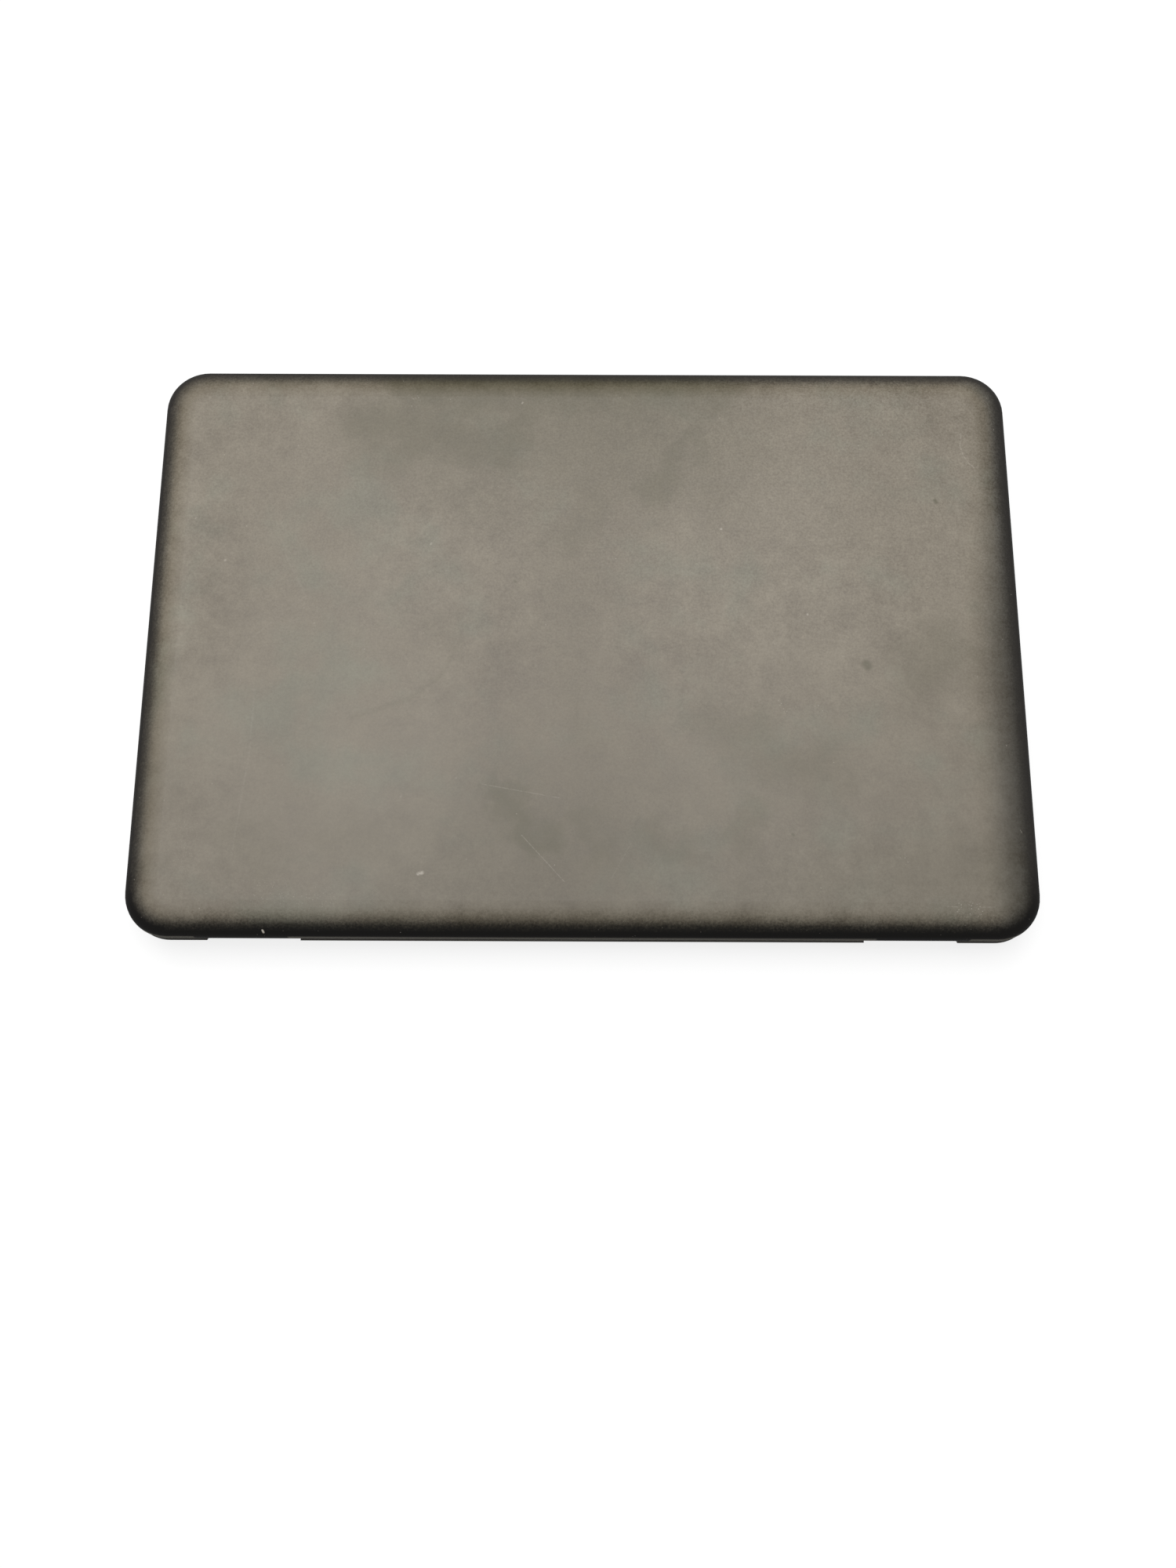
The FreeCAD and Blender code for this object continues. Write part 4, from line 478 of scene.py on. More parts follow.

# %% [markdown]
# ## Dark marks and smudges
# Dark marks are dents with dirt in them and keep a crisp rim. Smudges are what fingers leave: wide and
# faint, with a rim that wanders. Two long chains along the front edge are no smudges but painted shade that
# darkens the lid there. The plain distance to a chain would give them the shape of a sausage, and hand-drawn
# outlines would take many points, so the spot itself is pushed about by noise before its distance is taken.

# %% Lid: dark marks and smudges
DARK_MARKS = [
    ([(42.8, 2.1), (48.6, 13.9), (59.5, 22.3), (77.8, 28.8)], 1.0, 0.11),
    ([(-96.5, 9.2), (-97.1, 9.9)], 1.5, 0.55),
    ([(-123.4, -51.4), (-123.9, -50.6)], 0.62, 0.60),
    ([(-124.1, -50.9), (-126.8, -41.4)], 0.22, 0.14),
    ([(-69.5, 68.3), (-69.8, 68.7)], 0.40, 0.45),
    ([(23.9, -20.6), (23.6, -20.2)], 0.45, 0.40),
    ([(128.7, -97.1), (128.4, -96.8)], 0.40, 0.40),
]
SMUDGES_AND_FRONT_SHADE = [
    ([(26.8, 56.4), (15.1, 71.8)], 6.5, 0.46),
    ([(-47.6, 32.3), (-57.9, 34.9)], 9.0, 0.23),
    ([(-65.3, 42.9), (-80.6, 45.5)], 8.0, 0.23),
    ([(-113.1, 13.1), (-124.0, 5.6)], 9.0, 0.24),
    ([(-1.3, 66.6), (-5.1, 76.3)], 6.0, 0.31),
    ([(-21.6, 66.6), (-34.2, 73.6)], 7.0, 0.31),
    ([(-54.6, 60.8), (-53.0, 76.7)], 5.0, 0.22),
    ([(115.1, 68.7), (104.3, 79.9)], 6.0, 0.13),
    ([(82.2, 69.5), (64.3, 74.6)], 8.0, 0.11),
    ([(-79.2, 84.2), (-132.0, 81.5)], 11.0, 0.16),
    ([(73.1, -79.8), (34.7, -73.9)], 12.0, 0.40),
    ([(56.2, -62.9), (36.9, -50.3)], 9.0, 0.15),
    ([(21.2, -83.0), (29.1, -66.0)], 8.0, 0.42),
    ([(-38.8, -74.2), (-25.1, -54.4)], 7.0, 0.38),
    ([(-3.5, -62.2), (4.5, -36.9)], 7.0, 0.22),
    ([(1.5, 21.7), (-3.8, 43.1)], 7.0, 0.11),
    ([(47.6, -8.8), (44.0, 6.0)], 5.0, 0.08),
    ([(-38.6, -53.5), (-40.0, -61.0)], 4.5, 0.08),
    # The next two chains, along the front edge, are painted shade rather than smudges.
    ([(112.0, -99.0), (-60.0, -99.0)], 9.0, 0.10),
    ([(60.0, -96.0), (-40.0, -97.0)], 13.0, 0.50),
    ([(25.0, -84.0), (-30.0, -80.0)], 28.0, 0.26),
    ([(20.0, 74.0), (-14.0, 78.0)], 26.0, 0.16),
    ([(2.0, 20.0), (6.0, -30.0)], 13.0, 0.08),
    ([(48.0, 78.0), (12.0, 81.0)], 17.0, 0.14),
    ([(58.0, 98.0), (-62.0, 98.0)], 13.0, 0.16),
]
PUSH = 15.0  # mm, how far the noise may push a spot each way
wander = lid.noise(at + 220.0, 15.0, 4.0, 0.6, "Color").scaled(2 * PUSH) - PUSH
stirred = flat + wander * (1, 1, 0)
dents = marked(flat, DARK_MARKS, CRISP) * mottle.ramp(0.1, 0.5)
dark = dents.most(marked(stirred, SMUDGES_AND_FRONT_SHADE, SOFT))
print("dark marks:", len(DARK_MARKS), "smudges:", len(SMUDGES_AND_FRONT_SHADE))

# %% [markdown]
# ## Paler patches and the tone of the plastic
# In some patches the lid is a little paler, and towards the middle of the hinge it is darker.
# With the clouds and the grain this makes one number, the tone, which is about 1. The colour could simply
# be multiplied by it, but the dirt that darkens the lid is brownish, so green and blue follow the tone more
# strongly than red does.

# %% Lid: tone
PALE_PATCHES = [
    ([(-54.0, -34.0), (-74.0, -48.0)], 18.0, 0.07),
    ([(-72.0, -67.0), (-80.0, -72.0)], 10.0, 0.06),
    ([(-116.0, -68.0), (-128.0, -64.0)], 9.0, 0.07),
    ([(128.0, -70.0), (134.0, -40.0)], 12.0, 0.03),
    ([(141.0, -84.0), (142.0, 4.0)], 8.0, 0.09),
    ([(81.3, -19.5), (57.2, -13.9)], 12.0, 0.03),
    ([(118.0, 66.0), (56.0, 56.0)], 28.0, 0.08),
    ([(-84.0, -50.0), (-124.0, -30.0)], 24.0, 0.06),
    ([(-74.0, -46.0), (-88.0, -12.0)], 19.0, 0.13),
    ([(130.0, 34.0), (112.0, 64.0)], 17.0, 0.13),
]
CLOUDED, WIPED, MOTTLED = 0.14, 0.16, 1.45  # how far each noise moves the tone
BAND_X, BAND_HALF = 14.0, 60.0  # mm, the darker band from the hinge to the front
GREEN_PULL, BLUE_PULL = 1.10, 1.25  # how much more than red they follow the tone
brighter = marked(stirred, PALE_PATCHES, SOFT)
darker_band = abs(x - BAND_X).ramp(0.0, BAND_HALF, 1.0, 0.0) * y.ramp(10.0, 95.0, 0.09, 0.22)
worn_grain = (grain - 0.5) * y.ramp(-80.0, 70.0, 1.45, 0.55) * x.ramp(-70.0, 90.0, 1.0, 0.70)
tone = 1 + (clouds - 0.5) * CLOUDED + (wiped - 0.5) * WIPED + (mottle - 0.5) * patches * MOTTLED
tone = tone + worn_grain + brighter - darker_band
green, blue = [tone * pull + (1 - pull) for pull in (GREEN_PULL, BLUE_PULL)]
tones = lid.vector(tone, green, blue)
print("polished patches:", len(PALE_PATCHES))

# %% [markdown]
# ## The rolled edge
# The edge of the lid rolls over, away from the light, and a dark colour is painted on the roll as its shade.
# The plastic beside it gets a soft painted shade as well, deeper on one side and towards the hinge. Both
# could be painted by distance from the rim. The roll itself is found by which way the surface faces, because
# that follows the solid exactly, and the distance is kept for the painted shade beside it, which is soft.
# Along the hinge a thin lip under the edge is paler, apart from the two places where the hinges are.

# %% Lid: edge
HINGE_SHIFT = 2.5  # mm, how much less far in the darkening reaches along the hinge
# From the lid's middle to its sides, its front and the hinge edge, in mm.
LID_HALF, LID_FRONT, LID_REAR = cad_box[1].x / MM, -cad_box[0].y / MM, cad_box[1].y / MM + HINGE_SHIFT
EDGE_ZONE = 20.0  # mm, how far in from the rim the distance is needed
HINGE_X, HINGE_HALF = 112.0, 15.0  # mm, where the lip is broken
LIP_TOP, LIP_FRONT = 16.3, 100.0  # mm
# Painted shade: how dark the colour is painted by the rim, on one side and at the hinge edge.
RIM_PAINTED_SHADE, SIDE_PAINTED_SHADE, HINGE_PAINTED_SHADE = 0.76, 0.52, 0.90  # how dark the rim, one side and the hinge edge are
ROLL_ENDS, TOP_STARTS = 0.888, 0.985  # how far up the surface faces there: 1 is straight up
ROLL_GRAIN, ROLL_MOTTLE, ROLL_HINGE = 0.06, 0.02, 0.014  # how far noise and the hinge shift that
short_x = (EDGE_ZONE - LID_HALF + abs(x)).most(0.0)
short_y = (EDGE_ZONE - LID_FRONT - y).most(y + (EDGE_ZONE - LID_REAR)).most(0.0)
inset = EDGE_ZONE - lid.vector(short_x, short_y).length()
from_side = x + LID_HALF + y.ramp(-95.0, 10.0, 6.0, 0.0)
# Painted shade beside the rim: darker near the rim, on the side of low x and towards the hinge edge.
by_rim, by_side = inset.ramp(3.0, 9.0, RIM_PAINTED_SHADE, 1.0), from_side.ramp(4.0, 21.0, SIDE_PAINTED_SHADE, 1.0)
painted_edge_shade = by_rim * by_side * y.ramp(-10.0, 95.0, 1.0, HINGE_PAINTED_SHADE)

# The roll faces away from the light, and a dark colour is painted on it as shade.
level = lid.facing().parts()[2] + (grain - 0.5) * ROLL_GRAIN + (mottle - 0.5) * ROLL_MOTTLE
rolled = (level - near_hinge * ROLL_HINGE).ramp(ROLL_ENDS, TOP_STARTS)  # 0 on the roll, 1 on the flat top
beside_hinges = abs(abs(x) - HINGE_X).ramp(HINGE_HALF, HINGE_HALF + 1.0)
lip = z.ramp(LIP_TOP, LIP_TOP + 0.4, 1.0, 0.0) * y.ramp(LIP_FRONT, LIP_FRONT + 1.0) * beside_hinges
# The roll's colour: a painted shade, darker near the hinge, with the paler lip under the hinge edge.
edge = lid.mix(near_hinge, paint(41, 39, 37), paint(15, 14, 13))
edge = lid.mix(lip, edge, paint(100, 97, 91))
print("lid edge shaded over", EDGE_ZONE, "mm")

# %% [markdown]
# ## Two shaders for one lid
# The flat top has a satin sheen, and the edge, which many hands have gripped, has hardly any. A sheen that
# varies would feed a socket that can't be carried over to a game or a viewer, so there are two shaders with
# a steady sheen each, and a mask that blends one into the other. The grain stands in both as a relief of
# some hundredths of a mm.

# %% Lid: finish
SATIN_ROUGH, DULL_ROUGH, DULL_MIRROR = 0.52, 0.7, 0.08
RELIEF = 0.03  # mm
plastic = lid.mix(tint, paint(110, 102, 88), paint(107, 103, 89))
# Where the painted edge shade is deep the colour turns greyer, and then the painted shade darkens it.
plastic = lid.mix(painted_edge_shade.ramp(0.45, 1.0), paint(106, 102, 94), plastic)
top_colour = lid.shade(lid.shade(plastic, tones), painted_edge_shade)
# Dark marks and smudges, and the painted shade along the front edge, darken the top's colour.
marked_and_shaded = lid.mix(dark, top_colour, paint(54, 52, 25))
# On the roll stands the painted shade colour, elsewhere the top's colour, with pale marks over both.
colour = lid.mix(pale, lid.mix(rolled, edge, marked_and_shaded), paint(205, 198, 186))
relief = lid.bump(grain * 0.7 + mottle * 0.3, RELIEF, 0.5)
satin = lid.surface(Base_Color=colour, Roughness=SATIN_ROUGH + (mottle - 0.5) * 0.3, Normal=relief)
dull = lid.surface(Base_Color=colour, Roughness=DULL_ROUGH, Specular_IOR_Level=DULL_MIRROR, Normal=relief)
sheen = rolled * inset.ramp(3.0, 13.0) * from_side.ramp(5.0, 24.0)
lid.done(lid.blend(sheen, dull, satin))
finishes = {"lid_plastic": lid}
print("lid finish:", len(lid.tree.nodes), "nodes")

# %% [markdown]
# ## Plastics, rubber and film
# Most other pieces are moulded. A moulded surface has a grain from the tool it was pressed in and faint
# clouds where the melt cooled, and it is shinier where the clouds are dark. Each finish could be a graph of
# its own, but they differ only in colours and sizes, so one function makes them all from a table.


# %% Moulded finishes
def moulded(name, darker, lighter, grain_size, cloud_size, rough, relief, mirror):
    """Two shades in clouds, a grain, and roughness that follows both."""
    made = Finish(name)
    at = made.place()
    clouds = made.noise(at, cloud_size, 3.0, 0.55)
    grain = made.noise(at, grain_size, 2.0, 0.6)
    colour = made.mix(clouds.ramp(0.3, 0.7) * 0.7 + grain * 0.3, darker, lighter)
    roughness = rough + (clouds - 0.5) * 0.14 + (grain - 0.5) * 0.1
    made.done(made.surface(Base_Color=colour, Roughness=roughness, Normal=made.bump(grain, relief, 0.6),
                           Specular_IOR_Level=mirror))
    finishes[name] = made


# Darker and lighter shade, grain and clouds in mm, roughness, relief in mm, and how much it mirrors.
MOULDED = {
    "bezel_plastic": (paint(24, 24, 24), paint(31, 30, 30), 0.45, 25.0, 0.60, 0.030, 0.35),
    "key_plastic": (paint(24, 24, 25), paint(31, 31, 31), 0.30, 12.0, 0.50, 0.012, 0.5),
    "touchpad_surface": (paint(54, 53, 51), paint(60, 59, 56), 0.25, 25.0, 0.42, 0.008, 0.5),
    "lens_glass": (paint(8, 8, 11), paint(12, 12, 16), 0.50, 3.0, 0.08, 0.0, 0.5),
    "light_pipe": (paint(214, 216, 210), paint(232, 232, 226), 0.40, 3.0, 0.35, 0.010, 0.5),
    "rubber": (paint(30, 30, 30), paint(42, 41, 40), 0.35, 6.0, 0.80, 0.030, 0.3),
    "jack_plastic": (paint(20, 20, 21), paint(28, 28, 28), 0.40, 4.0, 0.45, 0.010, 0.5),
    "circuit_board": (paint(18, 70, 44), paint(28, 92, 56), 0.80, 5.0, 0.40, 0.020, 0.5),
    "chip_plastic": (paint(28, 28, 30), paint(38, 38, 40), 0.30, 4.0, 0.50, 0.010, 0.5),
    "battery_wrap": (paint(32, 33, 36), paint(44, 45, 48), 0.90, 25.0, 0.35, 0.020, 0.5),
    "speaker_plastic": (paint(24, 24, 24), paint(34, 34, 34), 0.40, 8.0, 0.55, 0.020, 0.5),
    "membrane_film": (paint(150, 154, 152), paint(176, 178, 174), 0.60, 25.0, 0.35, 0.010, 0.5),
    "cable_jacket": (paint(22, 22, 24), paint(36, 36, 38), 0.40, 6.0, 0.50, 0.010, 0.5),
    "hinge_cover_plastic": (paint(88, 86, 82), paint(104, 101, 95), 0.50, 12.0, 0.55, 0.030, 0.5),
    "key_print": (paint(196, 196, 192), paint(214, 214, 210), 0.25, 4.0, 0.60, 0.004, 0.5),
}
for name, look in MOULDED.items():
    moulded(name, *look)
print("moulded finishes:", len(MOULDED))

# %% [markdown]
# ## Metals
# Sheet and wire are rolled or drawn, which leaves fine lines along them, and small turned or plated pieces
# have a grain that runs no way at all. Stretching the noise along x gives the lines, and no stretch gives
# the even grain. A metal mirrors all it is given, so its colour is in the reflection, and stains show as
# duller spots.


# %% Metal finishes
def metal(name, darker, lighter, rough, stretch, size):
    """Metal with a drawn or an even grain."""
    made = Finish(name)
    at = made.place()
    drawn = made.noise(at * stretch, size, 3.0, 0.6)
    stains = made.noise(at, 7.0, 2.0, 0.5)
    roughness = rough + (stains - 0.5) * 0.2 + (drawn - 0.5) * 0.15
    made.done(made.surface(Base_Color=made.mix(drawn, darker, lighter), Metallic=1.0, Roughness=roughness,
                           Normal=made.bump(drawn, 0.01, 0.4)))
    finishes[name] = made


DRAWN, EVEN = (1.0, 12.0, 12.0), (1, 1, 1)
# Darker and lighter shade, roughness, stretch, and size of the grain in mm.
METALS = {
    "hinge_steel": (paint(150, 148, 144), paint(186, 184, 180), 0.34, DRAWN, 6.0),
    "screw_steel": (paint(120, 119, 117), paint(168, 166, 162), 0.36, EVEN, 0.8),
    "sheet_metal": (paint(170, 170, 168), paint(200, 200, 197), 0.38, DRAWN, 6.0),
    "socket_metal": (paint(176, 174, 168), paint(212, 210, 204), 0.26, DRAWN, 6.0),
    "spreader_aluminium": (paint(186, 188, 190), paint(214, 215, 216), 0.36, DRAWN, 6.0),
    "contact_gilt": (paint(176, 146, 92), paint(206, 176, 120), 0.34, EVEN, 0.6),
}
for name, look in METALS.items():
    metal(name, *look)
print("metal finishes:", len(METALS))

# %% [markdown]
# ## The base's plastic
# The base is moulded in a darker grey than the lid, with the same fine grain. Hands rest on the deck beside
# the touchpad, and there the grain is rubbed smooth: the two patches are a little darker and shinier. They
# could be painted on, but an ellipse in x and y needs only four sizes, and x without its sign gives both at
# once.

# %% Case finish
PALM_X, PALM_Y, PALM_WIDE, PALM_DEEP = 98.0, -68.0, 46.0, 30.0  # mm, middle and half sizes of a patch
DECK_LEVEL = 13.0  # mm, below it nothing is rubbed
CASE_ROUGH, CASE_RELIEF = 0.60, 0.03  # the relief in mm
RUBBED_DARK, RUBBED_SHINE, RUBBED_FLAT = 0.12, 0.16, 0.6  # how far rubbing goes in each
case = Finish("case_plastic")
at = case.place()
x, y, z = at.parts()
clouds = case.noise(at, 40.0, 4.0, 0.6)
grain = case.noise(at, 0.5, 2.0, 0.65)
across, along = (abs(x) - PALM_X) / PALM_WIDE, (y - PALM_Y) / PALM_DEEP
palms = (across * across + along * along + (clouds - 0.5) * 0.8).ramp(0.2, 1.1, 1.0, 0.0)
rubbed = palms * z.ramp(DECK_LEVEL, DECK_LEVEL + 0.5)
colour = case.mix(clouds.ramp(0.3, 0.7) * 0.35 + grain * 0.5, paint(62, 60, 56), paint(75, 72, 67))
case.done(case.surface(Base_Color=case.shade(colour, 1 - rubbed * RUBBED_DARK),
                       Roughness=CASE_ROUGH + (grain - 0.5) * 0.12 - rubbed * RUBBED_SHINE,
                       Normal=case.bump(grain * (1 - rubbed * RUBBED_FLAT), CASE_RELIEF, 0.6)))
finishes["case_plastic"] = case
print("palm patches", 2 * PALM_WIDE, "by", 2 * PALM_DEEP, "mm")

# %% [markdown]
# ## The screen, switched off
# The screen is a dark panel under a matte film. A black sheet would pass for it at a glance, but the
# picture area is a little bluer than the border round it, and wiping leaves faint streaks that show only in
# how sharply it mirrors the room. So the streaks go into the roughness and the fine sparkle of the film
# into the colour and the relief.

# %% Screen finish
SIDE_BORDER, FRONT_BORDER, REAR_BORDER = 7.6, 6.8, 9.8  # mm, from the panel's edges to the picture area
BORDER_FADE = 0.2  # mm, over which the border begins
low, high = [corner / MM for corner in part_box("lcd_cell")]
picture_x, picture_front, picture_rear = high.x - SIDE_BORDER, low.y + FRONT_BORDER, high.y - REAR_BORDER
screen = Finish("screen")
at = screen.place()
x, y, z = at.parts()
inside = abs(x).ramp(picture_x - BORDER_FADE, picture_x, 1.0, 0.0)
inside = inside * y.ramp(picture_front, picture_front + BORDER_FADE)
inside = inside * y.ramp(picture_rear - BORDER_FADE, picture_rear, 1.0, 0.0)
streaks = screen.noise(at * (0.25, 1.0, 1.0), 14.0, 3.0, 0.6)
sparkle = screen.noise(at, 0.25, 1.0, 0.5)
colour = screen.mix(inside, paint(9, 9, 10), screen.mix(sparkle, paint(16, 18, 22), paint(21, 23, 28)))
screen.done(screen.surface(Base_Color=colour, Roughness=0.24 + (streaks - 0.5) * 0.16,
                           Specular_IOR_Level=0.32, Normal=screen.bump(sparkle, 0.002, 0.4)))
finishes["screen"] = screen
print("picture area", round(2 * picture_x, 1), "by", round(picture_rear - picture_front, 1), "mm")

# %% [markdown]
# ## Put the finishes on
# Each solid of the model has a slot with the name of its finish and a plain stand-in in it. The slots could
# be filled one by one, but the names are enough: the finish of the same name takes the stand-in's place.
# Blender adds a dot and a number to a name that is taken, so only what stands before the dot counts. The
# half-round covers along the hinge are a lighter grey than their slot says, so they get a finish of their
# own.

# %% Dress the solids
for node in nodes.values():
    for slot in node.material_slots:
        slot.material = finishes[slot.material.name.split(".")[0]].material
for slot in nodes["hinge_covers"].material_slots:
    slot.material = finishes["hinge_cover_plastic"].material
print("dressed", len(nodes), "nodes")

# %% [markdown]
# ## Find the caps of the keys
# A row of keys is one solid model with many separate caps in it. Their places could be copied from the
# drawing, but then the print would stay behind when the keyboard changes. Here they are found in the row's
# own mesh: starting at any corner and walking along the edges reaches one whole cap, and what is left over
# holds the others.


# %% Caps
def caps_of(node):
    """The lowest and highest corner of each solid in a node, from left to right, then back to front."""
    shape = bmesh.new()
    shape.from_mesh(nodes[node].data)
    bmesh.ops.remove_doubles(shape, verts=shape.verts[:], dist=0.001 * MM)
    waiting = {vert.index for vert in shape.verts}
    shape.verts.ensure_lookup_table()
    caps = []
    while waiting:
        todo, found = [waiting.pop()], []
        while todo:
            vert = shape.verts[todo.pop()]
            found.append(vert.co.copy())
            for edge in vert.link_edges:
                other = edge.other_vert(vert).index
                if other in waiting:
                    waiting.discard(other)
                    todo.append(other)
        caps.append((Vector(map(min, *found)), Vector(map(max, *found))))
    shape.free()
    return sorted(caps, key=lambda cap: (round(cap[0].x, 5), -cap[0].y))


print("caps in the home row:", len(caps_of("home_letter_keys")))

# %% [markdown]
# ## Letters and signs as thin meshes
# Each cap carries its letter in pale ink. A picture on the cap could show it, but it would need unwrapping,
# and this script uses no pictures. A text object gives the outline of a letter, and its mesh is set on the
# cap, about a hundredth of a millimetre thick, as pad printing leaves it. Signs that a font may lack are
# drawn as outlines.

# %% Words and outlines
INK = 0.012 * MM  # thickness of the print
CAPITAL = 0.70  # height of a capital in Blender's font, for size 1


def word(text, height):
    """Mesh of a word: its lower left at the origin, its capitals height tall."""
    curve = bpy.data.curves.new("word", "FONT")
    curve.body = text
    curve.size = height / CAPITAL
    curve.resolution_u = 3
    curve.extrude = INK / 2
    holder = bpy.data.objects.new("word", curve)
    scene.collection.objects.link(holder)
    bpy.context.view_layer.update()
    mesh = bpy.data.meshes.new_from_object(holder.evaluated_get(bpy.context.evaluated_depsgraph_get()))
    bpy.data.objects.remove(holder)
    bpy.data.curves.remove(curve)
    return mesh


def outline(points):
    """Mesh of a flat outline, as thick as the print."""
    shape = bmesh.new()
    face = shape.faces.new([shape.verts.new((x, y, -INK / 2)) for x, y in points])
    raised = bmesh.ops.extrude_face_region(shape, geom=[face])["geom"]
    upper = [item for item in raised if isinstance(item, bmesh.types.BMVert)]
    bmesh.ops.translate(shape, vec=(0, 0, INK), verts=upper)
    bmesh.ops.recalc_face_normals(shape, faces=shape.faces[:])
    return mesh_of(shape, "outline")


def width_of(mesh):
    across = [vert.co.x for vert in mesh.vertices]
    return max(across) - min(across)


print("ink", INK / MM, "mm thick")

# %% [markdown]
# ## Print the keyboard
# A printer lays out a row of caps at a time: letters at the upper left, two signs one above the other,
# names of keys in small type at the foot, and the names in the top row in the middle. Each legend could be
# an object of its own, but all prints of a row move together, so they are gathered in one mesh that rides
# with its keys.


# %% Legends
def stamp(shape, mesh, spot=(0, 0, 0)):
    """Add a mesh to a growing shape at a spot, and drop the mesh."""
    mesh.transform(Matrix.Translation(spot))
    shape.from_mesh(mesh)
    bpy.data.meshes.remove(mesh)


def piece_of(shape, name, body, slot, *parts):
    """The piece that a shape makes, riding on a body, with the finishes that its faces count from 0."""
    mesh = mesh_of(shape, name)
    for part in parts:
        mesh.materials.append(finishes[part].material)
    made = bpy.data.objects.new(name, mesh)
    scene.collection.objects.link(made)
    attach(made, body)
    return made


LEGENDS = {
    "function_keys": ["Esc", *[f"F{n}" for n in range(1, 13)], "Ins", "Del"],
    "number_keys": ["~`", "!1", "@2", "#3", "$4", "%5", "^6", "&7", "*8", "(9", ")0", "_-", "+="],
    "backspace_key": ["Back"],
    "upper_letter_keys": ["Tab", *"QWERTYUIOP", "{[", "}]", "|\\"],
    "home_letter_keys": ["Caps", *"ASDFGHJKL", ":;", "\"'"],
    "enter_key": ["Enter"],
    "lower_letter_keys": ["Shift", *"ZXCVBNM", "<,", ">.", "?/", "Shift"],
    "modifier_keys": ["Ctrl", "Fn", "Menu", "Alt", "Alt", "Ctrl"],
}
LETTER, SIGN, NAME = 3.3 * MM, 2.7 * MM, 2.0 * MM  # heights of a capital, a sign and a key's name
SIDE, TOP, FOOT = 3.0 * MM, 2.9 * MM, 2.9 * MM  # from the cap's edges to the print
printed = 0
for row, texts in LEGENDS.items():
    sheet = bmesh.new()
    for text, (low, high) in zip(texts, caps_of(row), strict=True):
        left, on_top = low.x + SIDE, high.z + INK / 2
        if row == "function_keys":
            mesh = word(text, NAME)
            middle_x, middle_y = (low.x + high.x - width_of(mesh)) / 2, (low.y + high.y - NAME) / 2
            stamp(sheet, mesh, (middle_x, middle_y, on_top))
        elif len(text) == 1:
            stamp(sheet, word(text, LETTER), (left, high.y - TOP - LETTER, on_top))
        elif len(text) == 2 and not text.isalpha():
            stamp(sheet, word(text[0], SIGN), (left, high.y - TOP - SIGN, on_top))
            stamp(sheet, word(text[1], SIGN), (left, low.y + FOOT, on_top))
        else:
            stamp(sheet, word(text, NAME), (left, low.y + FOOT, on_top))
        printed += 1
    piece_of(sheet, row + "_print", row, "key_plastic", "key_print")
print("printed", printed, "caps")

# %% [markdown]
# ## Arrows and the power sign
# The four arrow keys carry small triangles, and the power button carries the usual open ring with a stem. A
# font might hold them, but not every font does. Both are plain enough to be drawn from a few sizes: three
# points round a circle, and an arc with a gap at the top.

# %% Arrows
ARROW, ARROW_BACK = 1.5 * MM, 2.3  # size, and radians from the tip to each back corner
ARROW_TURNS = (180, 90, -90, 0)  # degrees, for the caps left, up, down and right
sheet = bmesh.new()
for turn, (low, high) in zip(ARROW_TURNS, caps_of("arrow_keys"), strict=True):
    middle, angle = (low + high) / 2, math.radians(turn)
    corners = [angle, angle + ARROW_BACK, angle - ARROW_BACK]
    points = [(math.cos(corner) * ARROW, math.sin(corner) * ARROW) for corner in corners]
    stamp(sheet, outline(points), (middle.x, middle.y, high.z + INK / 2))
piece_of(sheet, "arrow_keys_print", "arrow_keys", "key_plastic", "key_print")
print("arrows", len(ARROW_TURNS))

# %% Power sign
RING, LINE, GAP_ANGLE, STEPS = 1.15 * MM, 0.2 * MM, math.radians(38), 24
STEM_FOOT, STEM_TIP = 0.2 * RING, 1.25 * RING
low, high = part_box("power_button")
on_top = ((low.x + high.x) / 2, (low.y + high.y) / 2, high.z + INK / 2)
sweep = 2 * math.pi - 2 * GAP_ANGLE
angles = [math.pi / 2 + GAP_ANGLE + sweep * i / STEPS for i in range(STEPS + 1)]
outer, inner = RING + LINE / 2, RING - LINE / 2
arc = [(math.cos(a) * outer, math.sin(a) * outer) for a in angles]
arc += [(math.cos(a) * inner, math.sin(a) * inner) for a in reversed(angles)]
stem = [(-LINE / 2, STEM_FOOT), (LINE / 2, STEM_FOOT), (LINE / 2, STEM_TIP), (-LINE / 2, STEM_TIP)]
sheet = bmesh.new()
stamp(sheet, outline(arc), on_top)
stamp(sheet, outline(stem), on_top)
piece_of(sheet, "power_sign", "power_button", "key_plastic", "key_print")
print("power sign", 2 * RING / MM, "mm across")

# %% [markdown]
# ## Contacts in the sockets
# A socket is a metal shell with a plastic tongue in it, and the tongue carries gilt contacts. The shells
# with their tongues are solids of the model. Stripes of gold colour could stand for the contacts, but they
# would lie flat and follow no edge, so each tongue gets a thin black sleeve, and the contacts on it are
# small bars with broken edges.


# %% Socket contacts
def block(shape, low, high, broken, part=0):
    """A box between two corners with broken edges, added to a growing shape in one of its finishes."""
    low, high = Vector(map(min, low, high)), Vector(map(max, low, high))
    matrix = Matrix.Translation((low + high) / 2) @ Matrix.Diagonal((*(high - low), 1.0))
    lump = bmesh.new()
    bmesh.ops.create_cube(lump, size=1.0, matrix=matrix)
    bmesh.ops.bevel(lump, geom=lump.edges[:], offset=broken, segments=2, affect="EDGES", profile=0.5)
    for face in lump.faces:
        face.material_index = part
    stamp(shape, mesh_of(lump, "lump"))


